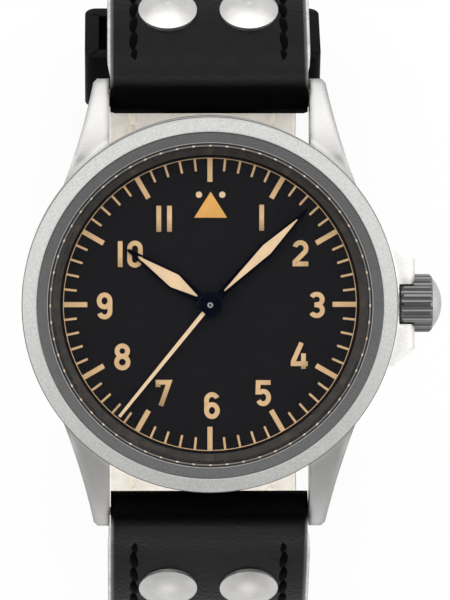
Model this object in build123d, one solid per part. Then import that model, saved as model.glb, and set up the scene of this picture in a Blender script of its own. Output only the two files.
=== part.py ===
from build123d import *
import math
import os

# Pilot watch on a riveted leather strap, closed to a loop. All sizes are in millimetres.
# The origin is the centre of the case back's outer face: +X to the crown at 3 o'clock,
# +Y to 12 o'clock, +Z out of the dial.

# Fits
RUN = 0.05                # running clearance, radial or axial, between parts that turn
MESH_GAP = 0.03           # gap between two wheels that run together
SOFT_GAP = 0.30           # clearance round leather that something slides on
SEAL_FIT = 0.02           # gasket's ease in its groove

# Case heights, from the back up
BACK_T = 1.1              # floor of the case back
BACK_RIM = 0.9            # flange of the case back below the band
BACK_COLLAR = 0.8         # threaded collar above the flange
ROTOR_GAP = 0.2
ROTOR_T = 0.6
BRIDGE_GAP = 0.2
BRIDGE_T = 0.6
TRAIN_H = 1.5             # space between bridges and main plate
LOW_LEVEL = 0.08          # third wheel, sweep and fourth pinions, escape wheel
MID_LEVEL = 0.60          # fourth wheel
HIGH_LEVEL = 0.12         # centre wheel, below the main plate
PLATE_T = 0.8
MOTION_H = 0.75           # space for the motion works under the dial
DIAL_T = 0.4
BAND_STEP = 0.15          # band above the dial
REHAUT_H = 1.75
CRYSTAL_EDGE = 0.75
CRYSTAL_BEVEL = 0.3
CRYSTAL_DOME = 0.8
BEZEL_H = 2.1

ROTOR_Z = BACK_T + ROTOR_GAP
BRIDGE_Z = ROTOR_Z + ROTOR_T + BRIDGE_GAP
TRAIN_Z = BRIDGE_Z + BRIDGE_T
PLATE_Z = TRAIN_Z + TRAIN_H
MOTION_Z = PLATE_Z + PLATE_T
LOW_Z = TRAIN_Z + LOW_LEVEL
MID_Z = TRAIN_Z + MID_LEVEL
DIAL_Z = MOTION_Z + MOTION_H
DIAL_TOP = DIAL_Z + DIAL_T
BAND_TOP = DIAL_TOP + BAND_STEP
CRYSTAL_Z = DIAL_TOP + REHAUT_H

# Case outline, from the band inwards
CASE_R = 18.75
BAND_CHAMFER = 0.5
BEZEL_INSET = 0.05        # bezel inside the band
SATIN_W = 1.5             # satin outer ring of the bezel
BLASTED_W = 1.2           # darker ring inside it
SEAL_W = 0.25             # gasket round the crystal
REHAUT_W = 1.05
REHAUT_RIM = 0.5          # rehaut's flat rim under the crystal
REHAUT_FOOT = 0.4         # its upright foot on the dial
DIAL_LAP = 0.1            # dial under the rehaut
CASE_WALL = 3.6
BACK_INSET = 1.75         # back's flange inside the band
BACK_LEDGE = 0.5          # how far the back's thread is wider than the movement bore
BACK_WALL = 1.0
BACK_EDGE = 0.6           # slanted edge of the back
NOTCHES = 6               # wrench notches in the case back
NOTCH_R = 1.0
NOTCH_DEPTH = 0.55
GROOVE_INSET = 0.45       # gasket groove inside the back's flange
GROOVE_W = 0.6
GROOVE_DEPTH = 0.2
RING_W = 2.35             # ring between case and movement
RING_GAP = 0.3            # ring above the back's collar

BEZEL_R = CASE_R - BEZEL_INSET
SATIN_IN_R = BEZEL_R - SATIN_W
BEZEL_BORE_R = SATIN_IN_R - BLASTED_W
CRYSTAL_R = BEZEL_BORE_R - SEAL_W
REHAUT_R = BEZEL_BORE_R - RUN
REHAUT_BASE_R = REHAUT_R - REHAUT_W
DIAL_R = REHAUT_BASE_R + DIAL_LAP
BORE_R = CASE_R - CASE_WALL
BACK_THREAD_R = BORE_R + BACK_LEDGE
BACK_FLANGE_R = CASE_R - BACK_INSET
GROOVE_R = BACK_FLANGE_R - GROOVE_INSET

# Bezel section: steps of its slanted edges
BEZEL_FOOT = 0.3          # chamfer at the band
BEZEL_WALL_H = 0.95       # upright wall
BEZEL_SHOULDER = 1.3      # where the slope to the top starts
BEZEL_SHOULDER_IN = 0.22
SATIN_LIP = 0.12          # small step down to the blasted ring
BLASTED_DROP = 0.2
BORE_CHAMFER = 0.1

# Lugs and spring bars
STRAP_W = 20.0            # space between the lugs
BAR_OUT = 2.25            # spring bar outside the band
LUG_OVER = 1.4            # lug tip beyond the bar
LUG_TIP_W = 1.6
LUG_ROOT_DEG = 38.9       # where the lug's outer side meets the band
LUG_WAIST = 0.25          # hollow of that side
LUG_TIP_TOP = 3.1
LUG_TIP_CUT = 0.4
LUG_SHOULDER = 0.3        # lug's top below the band's top
LUG_CREST_BACK = 6.2      # where the lug starts to drop, from the bar
LUG_BACK_START = 5.0      # where its underside starts to rise, from the bar
LUG_BACK_DROP = 1.55      # its underside below the bar
BAR_Z = 1.9
BAR_R = 0.8
BAR_SHORT = 0.4           # bar's body inside the lug space
BAR_TIP_R = 0.4
BAR_TIP_L = 0.7
BAR_Y = CASE_R + BAR_OUT
LUG_TIP_Y = BAR_Y + LUG_OVER

# Crown and guards
CROWN_Z = 3.7
CROWN_R = 2.9
CROWN_OUT = 0.25          # crown's inner face outside the band
CROWN_L = 3.25            # fluted length
CROWN_BEVEL = 0.3
CROWN_DOME_H = 0.95
CROWN_DOME_R = 2.5
FLUTES = 20
FLUTE_R = 0.36
FLUTE_OUT = 0.12          # flute's axis outside the crown
CROWN_PULL = 1.2
GUARD_OUT = 1.65          # guards beyond the band
GUARD_TOP = 2.3           # above and below the crown's axis
GUARD_Y = 4.4
GUARD_ROOT_Y = 6.2
GUARD_ROOT_IN = 0.6       # guard's root inside the band
GUARD_CHAMFER = 0.35
POCKET_GAP = 0.15
TUBE_R = 1.0
TUBE_OUT = 1.0            # tube inside the crown
STEM_R = 0.5
SEAL_GROOVE = 0.45        # crown gasket's groove round the tube
SEAL_L = 0.8
CROWN_X = CASE_R + CROWN_OUT
GUARD_X = CASE_R + GUARD_OUT
TUBE_X = CROWN_X + TUBE_OUT

# Movement, laid out on a grid of sixty-fourths of its radius
MOVEMENT_R = BORE_R - RING_W
GRID = MOVEMENT_R / 64
ROTOR_R = 61 * GRID
ROTOR_RIM = 11 * GRID
ROTOR_WEB_T = 0.3
POST_R = 3 * GRID
POST_HEAD_R = 4.5 * GRID
POST_HEAD_T = 0.12
ARBOR_R = GRID
PIVOT_L = 0.2             # arbor in the plate and in the bridge
CANNON_R = 3.1 * GRID
MINUTE_PIPE_R = 2.5 * GRID
SECONDS_R = 0.9 * GRID
WHEEL_T = 0.16
HIGH_Z = PLATE_Z - WHEEL_T - HIGH_LEVEL
PINION_STEP = 0.1         # pinion above the wheel beside it
WHEEL_RIM = 2.25 * GRID
WHEEL_HUB_R = 3.5 * GRID
SPOKE_W = 1.75 * GRID
BARREL_DIST = 29.5 * GRID
BARREL_ANGLE = 75
TRAIN_DIST = 19.4 * GRID  # centre to third and third to fourth
THIRD_ANGLE = -60
FOURTH_ANGLE = -110
ESCAPE_DIST = 15.15 * GRID
ESCAPE_ANGLE = 190
ESCAPE_R = 11 * GRID
ESCAPE_HUB_R = 3 * GRID
ESCAPE_PINION_H = 0.5
PALLET_DIST = 12.75 * GRID
BALANCE_DIST = 33.4 * GRID
BALANCE_ANGLE = 140
BALANCE_R = 16.5 * GRID
BALANCE_RIM = 2.25 * GRID
BALANCE_T = 0.35
BALANCE_ARM_T = 0.2
BALANCE_UP = 0.15         # balance above the fourth wheel's level
ROLLER_R = 2.25 * GRID
ROLLER_T = 0.25
SPRING_PITCH = 1.5 * GRID
SPRING_W = 0.08
SPRING_H = 0.15
SPRING_TURNS = 3
BARREL_H = 1.05
BARREL_EDGE = 0.2
BARREL_GAP = 0.1          # barrel above its bridge
BARREL_ARBOR_R = 3.75 * GRID
MINUTE_WHEEL_DIST = 14.5 * GRID
MINUTE_WHEEL_ANGLE = 200
MINUTE_POST_R = 1.5 * GRID
MOTION_WHEEL_T = 0.2
CANNON_WHEEL_T = 0.25
HOUR_WHEEL_UP = 0.35      # hour wheel above the main plate
MINUTE_PINION_H = 0.5
MINUTE_POST_L = 0.5
HOUR_PIPE_WALL = 0.22
HOUR_PIPE_R = CANNON_R + RUN + HOUR_PIPE_WALL
CROWN_WHEEL_R = 11 * GRID
CROWN_WHEEL_HUB_R = 3 * GRID
KEYLESS_X = 41 * GRID     # middle of the keyless works on the stem
CROWN_WHEEL_DIST = 10 * GRID
CROWN_WHEEL_ANGLE = 125
SUNK_WHEEL_T = 0.25       # ratchet wheel, crown wheel and click
SUNK_HUB_T = 0.4
WHEEL_POCKET = 0.35
CLICK_GAP = 5 * GRID      # click's pivot outside the ratchet wheel
CLICK_ANGLE = 172
CLICK_HUB_R = 1.5 * GRID
CLICK_POCKET_R = 11 * GRID
FOOT_Y = 56.5 * GRID
FOOT_R = 0.35
FOOT_GAP = 0.1
PILLAR_R = 3.5 * GRID
PILLAR_AT_R = MOVEMENT_R - 4.5 * GRID
PILLAR_ANGLES = (17, 133, 148, 192.4, 214.6, 250, 288, 344)
BRIDGE_R = MOVEMENT_R - 0.5 * GRID
BRIDGE_LINE = 5 * GRID    # where barrel bridge and train bridge part
BRIDGE_SPLIT = 0.2
COCK_W = 28 * GRID
COCK_HEAD = 8 * GRID      # cock beyond the balance staff
COCK_FOOT = 4.5 * GRID    # cock outside the rim, before the bridges' disc cuts it off

# Keyless works on the stem
STEM_IN = 36 * GRID
STEM_END = TUBE_X + CROWN_PULL
STEM_GROOVE_X = 57 * GRID
STEM_GROOVE_W = 0.4
STEM_GROOVE_DEPTH = 0.15
PINION_R = 1.0
PINION_EDGE = 0.15
WINDING_X = 39.5 * GRID
WINDING_L = 5.5 * GRID
SLIDING_X = 46 * GRID
SLIDING_L = 7 * GRID
SLOT_GAP = 0.2            # keyless slot round the pinions
BEARING_W = 0.8           # half width of the stem's bearing
BEARING_H = 0.4           # how far the bearing reaches into the plate

# Tooth counts, which set the pitch radii and the ratios
CENTRE_TEETH = 64
THIRD_PINION = 8
THIRD_TEETH = 60
FOURTH_PINION = 8
FOURTH_TEETH = 70
ESCAPE_PINION = 7
BARREL_TEETH = 84
CENTRE_PINION = 12
CANNON_TEETH = 12
MINUTE_TEETH = 36
MINUTE_PINION = 10
HOUR_TEETH = 40

# Hands
HAND_T = 0.15
HAND_GAP = 0.2
HOUR_GAP = 0.25           # hour hand above the dial
HOUR_Z = DIAL_TOP + HOUR_GAP
MINUTE_Z = HOUR_Z + HAND_T + HAND_GAP
SECONDS_Z = MINUTE_Z + HAND_T + HAND_GAP
HOUR_L = 0.66 * DIAL_R
HOUR_W = 1.8
HOUR_WIDEST = 4.25        # widest place, from the centre
HOUR_TIP = 0.18           # half width at the tip
HOUR_HUB_R = 1.26
HOUR_LUME_IN = 1.6
HOUR_LUME_SHORT = 1.5     # lume's end, back from the tip
MINUTE_SHORT = 1.4        # minute hand's tip, back from the dial's edge
MINUTE_L = DIAL_R - MINUTE_SHORT
MINUTE_W = 1.5
MINUTE_WIDEST = 7.9
MINUTE_TIP = 0.12
MINUTE_HUB_R = 1.1
MINUTE_LUME_IN = 2.0
MINUTE_LUME_SHORT = 1.5
SECONDS_SHORT = 0.7
SECONDS_L = DIAL_R - SECONDS_SHORT
SECONDS_W = 0.42
SECONDS_TAPER = 0.7
SECONDS_HUB_R = 0.96
SECONDS_HUB_T = 0.3
SECONDS_END = 0.1         # arbor's end above the hand's arm
HAND_ROOT = 0.3           # half width at the hub
LUME_RIM = 0.17
LUME_PROUD = 0.04
LUME_END = 0.9            # lume narrows to this share of the hand inside its rim
HOUR_DEG = 303.8
MINUTE_DEG = 45.65
SECONDS_DEG = 219.1

# Strap
LEATHER_T = 1.7           # outer leather
LINING_T = 0.9
LEATHER_OVER = 0.4        # strap wider than the space between the lugs
END_EASE = 0.4            # its end narrower than that space
LEATHER_W = STRAP_W + LEATHER_OVER
END_W = STRAP_W - END_EASE
LINING_INSET = 0.1
END_L = 3.3               # from the bar to where the strap widens
END_R = 1.95              # leather wrapped round the spring bar
START_DEG = -28.0         # slope of the strap where it leaves the bar
SIDE_R = 24.6             # centre line of the loop's side
CORNER_TURN = 30.0
SIDE_TURN = 180.0 + START_DEG - CORNER_TURN
PIN_Y = 0.0               # buckle bar under the dial's middle
SHORT_FLAT = 10.0
LAP_GAP = 0.4             # between the two halves where they lap
TAIL_TURN = 30.0
TAIL_L = 7.5
TAIL_CHAMFER = 5.0
HOLES = 7
HOLE_PITCH = 7.0
HOLE_R = 1.3
TONGUE_REACH = 2.3        # hole in use, from the buckle bar
TONGUE_HOLE_Y = PIN_Y - TONGUE_REACH
RIVET_X = 4.1
RIVET_PATH = 9.3          # from the bar along the strap
RIVET_R = 2.95
RIVET_H = 1.15
RIVET_RIM = 0.2           # upright rim under the rivet's dome
RIVET_SHANK_R = 1.0
WASHER_R = 2.2
WASHER_T = 0.35

# Buckle and keepers
PIN_R = 0.7
PIN_END_R = 1.45
LINING_BACK = 2.05        # where the short half's lining ends, from the buckle bar
PIN_SHORT = 0.2           # bar's ends inside the arms
TONGUE_W = 1.8
TONGUE_T = 0.9
TONGUE_HUB_T = 0.5
TONGUE_DIP = 1.3          # where the tongue turns down, below the bar
TONGUE_DROP = 0.58        # tongue's middle below the crossbar's middle
TONGUE_OVER = 1.0         # tongue's end beyond the crossbar
ARM_W = 1.6
ARM_EYE_R = 1.3
ARM_GAP = 0.25
BUCKLE_L = 8.2            # crossbar's middle, from the buckle bar
CROSSBAR_Y = PIN_Y - BUCKLE_L
CROSSBAR_R = 1.15
SEAT_GAP = 0.1
KEEPER_WALL = 1.2
KEEPER_EDGE = 1.0
KEEPER_L = 6.0
KEEPER_Y = PIN_Y + SHORT_FLAT - KEEPER_L / 2
FREE_KEEPER_DEG = 35.0    # round the corner from the flat
FREE_KEEPER_L = 6.5

STRAP_T = LEATHER_T + LINING_T
OUTER = STRAP_T / 2
SEAM = STRAP_T / 2 - LEATHER_T
LAP = STRAP_T + LAP_GAP
BOTTOM_ALIGN = (Align.CENTER, Align.CENTER, Align.MIN)


# Shared shapes
def disc(radius, height, x=0.0, y=0.0, z=0.0):
    """A round disc or post that stands on z."""
    return Pos(x, y, z) * Cylinder(radius, height, align=BOTTOM_ALIGN)


def ring(outer, inner, height, x=0.0, y=0.0, z=0.0):
    """A flat ring that stands on z."""
    return disc(outer, height, x, y, z) - disc(inner, height, x, y, z)


def turned(points):
    """A body turned about Z from a half section of (radius, height) points."""
    section = make_face(Polyline(*[(r, 0, z) for r, z in points], close=True))
    return revolve(section, Axis.Z, 360)


def block(x0, x1, y0, y1, z0, z1):
    """A box between two corners."""
    return Pos((x0 + x1) / 2, (y0 + y1) / 2, (z0 + z1) / 2) * Box(x1 - x0, y1 - y0, z1 - z0)


def plan(points, z, height):
    """A plate with the outline points, from z upwards."""
    return Pos(0, 0, z) * extrude(make_face(Polyline(*points, close=True)), height)


def side_plate(points, x, width):
    """A plate with an outline in the YZ plane, from x along +X."""
    return extrude(make_face(Polyline(*[(x, y, z) for y, z in points], close=True)), width, Vector(1, 0, 0))


def polar(radius, degrees, centre=(0.0, 0.0)):
    """A point at an angle round a centre."""
    a = math.radians(degrees)
    return (centre[0] + radius * math.cos(a), centre[1] + radius * math.sin(a))


def mesh_radii(distance, teeth_a, teeth_b):
    """Pitch radii of two wheels on a centre distance, less half the gap each."""
    total = teeth_a + teeth_b
    return (distance * teeth_a / total - MESH_GAP / 2, distance * teeth_b / total - MESH_GAP / 2)


def dome_radius(base, height):
    """Sphere radius of a dome from its base radius and height."""
    return (base ** 2 + height ** 2) / (2 * height)


def dome_middle(base, height):
    """Radius and height of the point halfway along a dome's arc."""
    radius = dome_radius(base, height)
    half_angle = math.asin(base / radius) / 2
    return radius * math.sin(half_angle), height - radius * (1 - math.cos(half_angle))


def write(name, shape):
    export_step(shape, f"parts/{name}.step")


# Case
def lug_root():
    """Point in the middle of the band's wall, inside the place where a lug's outer side meets the band."""
    return polar(CASE_R - CASE_WALL / 2, LUG_ROOT_DEG)


def lug_plan():
    """Face of one lug seen from above, from inside the band to its tip."""
    inner, tip = STRAP_W / 2, STRAP_W / 2 + LUG_TIP_W
    root, tip_y = polar(CASE_R, LUG_ROOT_DEG), LUG_TIP_Y - LUG_TIP_CUT
    inner_y = math.sqrt((CASE_R - CASE_WALL / 2) ** 2 - inner ** 2)
    front = Polyline(root, lug_root(), (inner, inner_y), (inner, LUG_TIP_Y), (tip - LUG_TIP_CUT, LUG_TIP_Y),
                     (tip, tip_y))
    middle = ((tip + root[0]) / 2 - LUG_WAIST, (tip_y + root[1]) / 2)
    return make_face([*front.edges(), ThreePointArc((tip, tip_y), middle, root)])


def lug_side():
    """Side view of a lug, from inside the band: its back curves down to the tip over the bar."""
    root, top = lug_root()[1], BAND_TOP - LUG_SHOULDER
    crest, fall = BAR_Y - LUG_CREST_BACK, LUG_TIP_Y - LUG_TIP_CUT
    middle = ((crest + fall) / 2 + LUG_TIP_CUT / 2, (top + LUG_TIP_TOP) / 2 + LUG_TIP_CUT)
    under = BAR_Z - LUG_BACK_DROP
    low = Polyline((0, fall, LUG_TIP_TOP), (0, LUG_TIP_Y, LUG_TIP_TOP - LUG_TIP_CUT),
                   (0, LUG_TIP_Y, BAR_Z - 2 * LUG_TIP_CUT), (0, fall, under + LUG_TIP_CUT / 4),
                   (0, BAR_Y, under), (0, BAR_Y - LUG_BACK_START, BACK_RIM),
                   (0, root, BACK_RIM), (0, root, top), (0, crest, top))
    back = ThreePointArc((0, crest, top), (0, *middle), (0, fall, LUG_TIP_TOP))
    return make_face([*low.edges(), back])


def lugs():
    """The four lugs, as one lug and its mirror images."""
    side = extrude(lug_side(), CASE_R, Vector(1, 0, 0))
    lug = extrude(lug_plan(), BAND_TOP) & side
    pair = [lug, mirror(lug, Plane.YZ)]
    return pair + [mirror(shape, Plane.XZ) for shape in pair]


def guards():
    """Both crown guards as one block; the crown's pocket is cut later."""
    inside = CASE_R - CASE_WALL / 2
    half = [(inside, GUARD_ROOT_Y), (CASE_R - GUARD_ROOT_IN, GUARD_ROOT_Y), (GUARD_X, GUARD_Y)]
    outline = half + [(x, -y) for x, y in reversed(half)]
    body = plan(outline, CROWN_Z - GUARD_TOP, 2 * GUARD_TOP)
    outer = body.edges().filter_by(Axis.Y).sort_by(Axis.X)[-2:]
    return chamfer(outer, GUARD_CHAMFER)


def case_middle():
    band = disc(CASE_R, BAND_TOP - BACK_RIM, z=BACK_RIM)
    rims = band.edges().filter_by(GeomType.CIRCLE).sort_by(Axis.Z)
    band = chamfer(rims[0], BAND_CHAMFER)
    body = band + guards()
    for lug in lugs():
        body += lug
    pocket_r = CROWN_R + POCKET_GAP
    pocket = Pos(CROWN_X - POCKET_GAP, 0, CROWN_Z) * Rot(0, 90, 0) * Cylinder(
        pocket_r, GUARD_X, align=BOTTOM_ALIGN)
    tube_hole = Pos(MOVEMENT_R, 0, CROWN_Z) * Rot(0, 90, 0) * Cylinder(
        TUBE_R, CASE_R, align=BOTTOM_ALIGN)
    body -= disc(BORE_R, BAND_TOP)
    body -= disc(BACK_THREAD_R, BACK_COLLAR + 2 * RUN, z=BACK_RIM)
    body -= disc(REHAUT_R, BAND_TOP - DIAL_TOP, z=DIAL_TOP)
    body -= pocket
    body -= tube_hole
    hole_l = BAR_TIP_L + RUN
    for y in (BAR_Y, -BAR_Y):
        for x in (STRAP_W / 2 + hole_l / 2, -STRAP_W / 2 - hole_l / 2):
            body -= Pos(x, y, BAR_Z) * Rot(0, 90, 0) * Cylinder(BAR_TIP_R + RUN, hole_l)
    return body


def case_back():
    """Screwed back with wrench notches and a threaded collar."""
    inner = BACK_THREAD_R - BACK_WALL
    body = turned([
        (0, 0), (BACK_FLANGE_R - BACK_EDGE, 0), (BACK_FLANGE_R, BACK_RIM / 2), (BACK_FLANGE_R, BACK_RIM),
        (BACK_THREAD_R - RUN, BACK_RIM), (BACK_THREAD_R - RUN, BACK_RIM + BACK_COLLAR),
        (inner, BACK_RIM + BACK_COLLAR), (inner, BACK_T), (0, BACK_T),
    ])
    for i in range(NOTCHES):
        x, y = polar(BACK_FLANGE_R, 360 * i / NOTCHES)
        body -= disc(NOTCH_R, NOTCH_DEPTH, x, y)
    return body - ring(GROOVE_R, GROOVE_R - GROOVE_W, GROOVE_DEPTH, z=BACK_RIM - GROOVE_DEPTH)


def case_back_gasket():
    outer, inner = GROOVE_R - SEAL_FIT, GROOVE_R - GROOVE_W + SEAL_FIT
    return ring(outer, inner, GROOVE_DEPTH - SEAL_FIT, z=BACK_RIM - GROOVE_DEPTH + SEAL_FIT / 2)


def bezel():
    """Bezel: an upright wall, a satin slope to the top and a blasted ring inside a small step."""
    top = BAND_TOP + BEZEL_H
    lip = SATIN_IN_R - BORE_CHAMFER
    return turned([
        (BEZEL_BORE_R, BAND_TOP), (BEZEL_R - BEZEL_FOOT, BAND_TOP), (BEZEL_R, BAND_TOP + BEZEL_FOOT),
        (BEZEL_R, BAND_TOP + BEZEL_WALL_H), (BEZEL_R - BEZEL_SHOULDER_IN, BAND_TOP + BEZEL_SHOULDER),
        (SATIN_IN_R + SATIN_LIP, top), (SATIN_IN_R, top), (lip, top - SATIN_LIP),
        (BEZEL_BORE_R + BORE_CHAMFER, top - BLASTED_DROP),
        (BEZEL_BORE_R, top - BLASTED_DROP - BORE_CHAMFER),
    ])


def crystal():
    shoulder = CRYSTAL_Z + CRYSTAL_EDGE
    crown_r = CRYSTAL_R - CRYSTAL_BEVEL
    profile = Polyline((0, 0, CRYSTAL_Z), (CRYSTAL_R, 0, CRYSTAL_Z),
                       (CRYSTAL_R, 0, shoulder - CRYSTAL_BEVEL), (crown_r, 0, shoulder))
    dome_top = (0, 0, shoulder + CRYSTAL_DOME)
    middle_r, middle_h = dome_middle(crown_r, CRYSTAL_DOME)
    rise = ThreePointArc((crown_r, 0, shoulder), (middle_r, 0, shoulder + middle_h), dome_top)
    axis_line = Line(dome_top, (0, 0, CRYSTAL_Z))
    return revolve(make_face([*profile.edges(), rise, axis_line]), Axis.Z, 360)


def crystal_gasket():
    return ring(BEZEL_BORE_R, CRYSTAL_R, CRYSTAL_EDGE - CRYSTAL_BEVEL, z=CRYSTAL_Z)


def rehaut():
    """Inner flange that slopes from the crystal down to the dial's edge."""
    return turned([
        (REHAUT_BASE_R, DIAL_TOP), (REHAUT_R - RUN, DIAL_TOP), (REHAUT_R - RUN, CRYSTAL_Z),
        (REHAUT_R - REHAUT_RIM, CRYSTAL_Z), (REHAUT_BASE_R, DIAL_TOP + REHAUT_FOOT),
    ])


def spring_bar(y):
    length = STRAP_W - BAR_SHORT
    body = Pos(0, y, BAR_Z) * Rot(0, 90, 0) * Cylinder(BAR_R, length)
    return body + Pos(0, y, BAR_Z) * Rot(0, 90, 0) * Cylinder(BAR_TIP_R, STRAP_W + 2 * BAR_TIP_L)


# Crown, stem and keyless works
def along_x(radius, x0, x1):
    """A round bar on the crown's axis."""
    return Pos(x0, 0, CROWN_Z) * Rot(0, 90, 0) * Cylinder(radius, x1 - x0, align=BOTTOM_ALIGN)


def crown():
    """Fluted crown with a domed end, hollow over the crown tube."""
    end, bevel = CROWN_X + CROWN_L, CROWN_BEVEL
    middle_r, middle_h = dome_middle(CROWN_DOME_R, CROWN_DOME_H)
    edge = Polyline((CROWN_X, 0, 0), (CROWN_X, 0, CROWN_R - bevel), (CROWN_X + bevel, 0, CROWN_R),
                    (end - bevel, 0, CROWN_R), (end, 0, CROWN_R - bevel), (end, 0, CROWN_DOME_R))
    dome = ThreePointArc((end, 0, CROWN_DOME_R), (end + middle_h, 0, middle_r), (end + CROWN_DOME_H, 0, 0))
    section = make_face([*edge.edges(), dome, Line((end + CROWN_DOME_H, 0, 0), (CROWN_X, 0, 0))])
    body = Pos(0, 0, CROWN_Z) * revolve(section, Axis.X, 360)
    for i in range(FLUTES):
        y, z = polar(CROWN_R + FLUTE_OUT, 360 * (i + 0.5) / FLUTES, (0, CROWN_Z))
        body -= Pos(CROWN_X, y, z) * Rot(0, 90, 0) * Cylinder(FLUTE_R, CROWN_L, align=BOTTOM_ALIGN)
    gasket_bore = along_x(TUBE_R + SEAL_GROOVE, CROWN_X, TUBE_X + SEAL_L)
    return body - gasket_bore - along_x(TUBE_R + RUN, CROWN_X, TUBE_X + CROWN_PULL)


def crown_tube():
    return along_x(TUBE_R, BORE_R, TUBE_X) - along_x(STEM_R + RUN, 0, CASE_R * 2)


def crown_gasket():
    start = TUBE_X - SEAL_L - SEAL_FIT
    outer = along_x(TUBE_R + SEAL_GROOVE - SEAL_FIT, start, start + SEAL_L)
    return outer - along_x(TUBE_R + RUN, start, start + SEAL_L)


def winding_stem():
    """Stem from the crown to its pivot in the main plate, with the groove for the lever."""
    groove = ring(STEM_R + STEM_GROOVE_DEPTH, STEM_R - STEM_GROOVE_DEPTH, STEM_GROOVE_W)
    return along_x(STEM_R, STEM_IN, STEM_END) - Pos(STEM_GROOVE_X, 0, CROWN_Z) * Rot(0, 90, 0) * groove


def stem_pinion(x, length):
    bore = along_x(STEM_R + RUN, x, x + length)
    return chamfer(along_x(PINION_R, x, x + length).edges().filter_by(GeomType.CIRCLE), PINION_EDGE) - bore


# Movement
CENTRE = (0.0, 0.0)
BARREL_AT = polar(BARREL_DIST, BARREL_ANGLE)
THIRD_AT = polar(TRAIN_DIST, THIRD_ANGLE)
FOURTH_AT = polar(TRAIN_DIST, FOURTH_ANGLE, THIRD_AT)
ESCAPE_AT = polar(ESCAPE_DIST, ESCAPE_ANGLE, FOURTH_AT)
PALLET_AT = polar(PALLET_DIST, BALANCE_ANGLE, ESCAPE_AT)
BALANCE_AT = polar(BALANCE_DIST, BALANCE_ANGLE, ESCAPE_AT)
MINUTE_AT = polar(MINUTE_WHEEL_DIST, MINUTE_WHEEL_ANGLE)
CROWN_WHEEL_AT = polar(CROWN_WHEEL_DIST, CROWN_WHEEL_ANGLE, (KEYLESS_X, 0.0))
PILLARS = [polar(PILLAR_AT_R, angle) for angle in PILLAR_ANGLES]

CENTRE_R, THIRD_PINION_R = mesh_radii(TRAIN_DIST, CENTRE_TEETH, THIRD_PINION)
THIRD_R, SWEEP_PINION_R = mesh_radii(TRAIN_DIST, THIRD_TEETH, FOURTH_PINION)
FOURTH_R, ESCAPE_PINION_R = mesh_radii(ESCAPE_DIST, FOURTH_TEETH, ESCAPE_PINION)
BARREL_R, CENTRE_PINION_R = mesh_radii(BARREL_DIST, BARREL_TEETH, CENTRE_PINION)
CANNON_WHEEL_R, MINUTE_WHEEL_R = mesh_radii(MINUTE_WHEEL_DIST, CANNON_TEETH, MINUTE_TEETH)
MINUTE_PINION_R, HOUR_WHEEL_R = mesh_radii(MINUTE_WHEEL_DIST, MINUTE_PINION, HOUR_TEETH)
RATCHET_R = math.dist(CROWN_WHEEL_AT, BARREL_AT) - CROWN_WHEEL_R - MESH_GAP
CLICK_AT = polar(RATCHET_R + CLICK_GAP, CLICK_ANGLE, BARREL_AT)


def spoked(radius, z, at, hub=WHEEL_HUB_R):
    """A wheel at its pitch radius with a rim, four crossings and a hub."""
    body = ring(radius, radius - WHEEL_RIM, WHEEL_T, *at, z) + disc(hub, WHEEL_T, *at, z)
    for angle in (0, 90):
        arm = Box(2 * radius - WHEEL_RIM, SPOKE_W, WHEEL_T, align=BOTTOM_ALIGN)
        body += Pos(at[0], at[1], z) * Rot(0, 0, angle) * arm
    return body


def arbor(at):
    """A train arbor that reaches into the bridge and the main plate."""
    return disc(ARBOR_R, TRAIN_H + 2 * PIVOT_L, *at, TRAIN_Z - PIVOT_L)


def centre_wheel():
    """Centre wheel and pinion on the pipe that carries the cannon pinion."""
    body = spoked(CENTRE_R, HIGH_Z, CENTRE)
    pinion_z = LOW_Z + WHEEL_T + PINION_STEP
    body += disc(CENTRE_PINION_R, HIGH_Z - pinion_z, z=pinion_z)
    body += disc(MINUTE_PIPE_R, MOTION_Z + RUN - HIGH_Z, z=HIGH_Z)
    return body - disc(SECONDS_R + RUN, MOTION_Z, z=TRAIN_Z)


def cannon_pinion():
    """Pipe from the main plate up to the minute hand, with its pinion."""
    z = MOTION_Z + RUN
    body = disc(CANNON_R, MINUTE_Z + HAND_T - z, z=z) + disc(CANNON_WHEEL_R, CANNON_WHEEL_T, z=z)
    return body - disc(SECONDS_R + RUN, MINUTE_Z, z=z)


def third_wheel():
    body = spoked(THIRD_R, LOW_Z, THIRD_AT) + arbor(THIRD_AT)
    return body + disc(THIRD_PINION_R, PLATE_Z - HIGH_Z - RUN, *THIRD_AT, HIGH_Z)


def fourth_wheel():
    body = spoked(FOURTH_R, MID_Z, FOURTH_AT) + arbor(FOURTH_AT)
    return body + disc(SWEEP_PINION_R, MID_Z - LOW_Z, *FOURTH_AT, LOW_Z)


def seconds_pinion():
    """Sweep pinion on the long arbor that carries the seconds hand."""
    body = disc(SWEEP_PINION_R, WHEEL_T, z=LOW_Z)
    return body + disc(SECONDS_R, SECONDS_Z + HAND_T + SECONDS_END - BRIDGE_Z, z=BRIDGE_Z)


def escape_wheel():
    body = spoked(ESCAPE_R, LOW_Z, ESCAPE_AT, ESCAPE_HUB_R) + arbor(ESCAPE_AT)
    return body + disc(ESCAPE_PINION_R, ESCAPE_PINION_H, *ESCAPE_AT, MID_Z - PINION_STEP)


def pallet_fork():
    """Lever with two pallet arms at the escape wheel and a fork at the balance staff."""
    reach = BALANCE_DIST - PALLET_DIST - 4 * GRID
    half = [(reach, 0.9), (1.25, 1.5), (-0.25, 6.5), (-1.75, 6.5), (-0.6, 2.0)]
    side = [(half[0][0], half[0][1] * GRID)] + [(x * GRID, y * GRID) for x, y in half[1:]]
    lever = side + [(x, -y) for x, y in reversed(side)]
    place = Pos(PALLET_AT[0], PALLET_AT[1], LOW_Z) * Rot(0, 0, BALANCE_ANGLE)
    return place * plan(lever, 0, WHEEL_T) + arbor(PALLET_AT)


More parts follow.
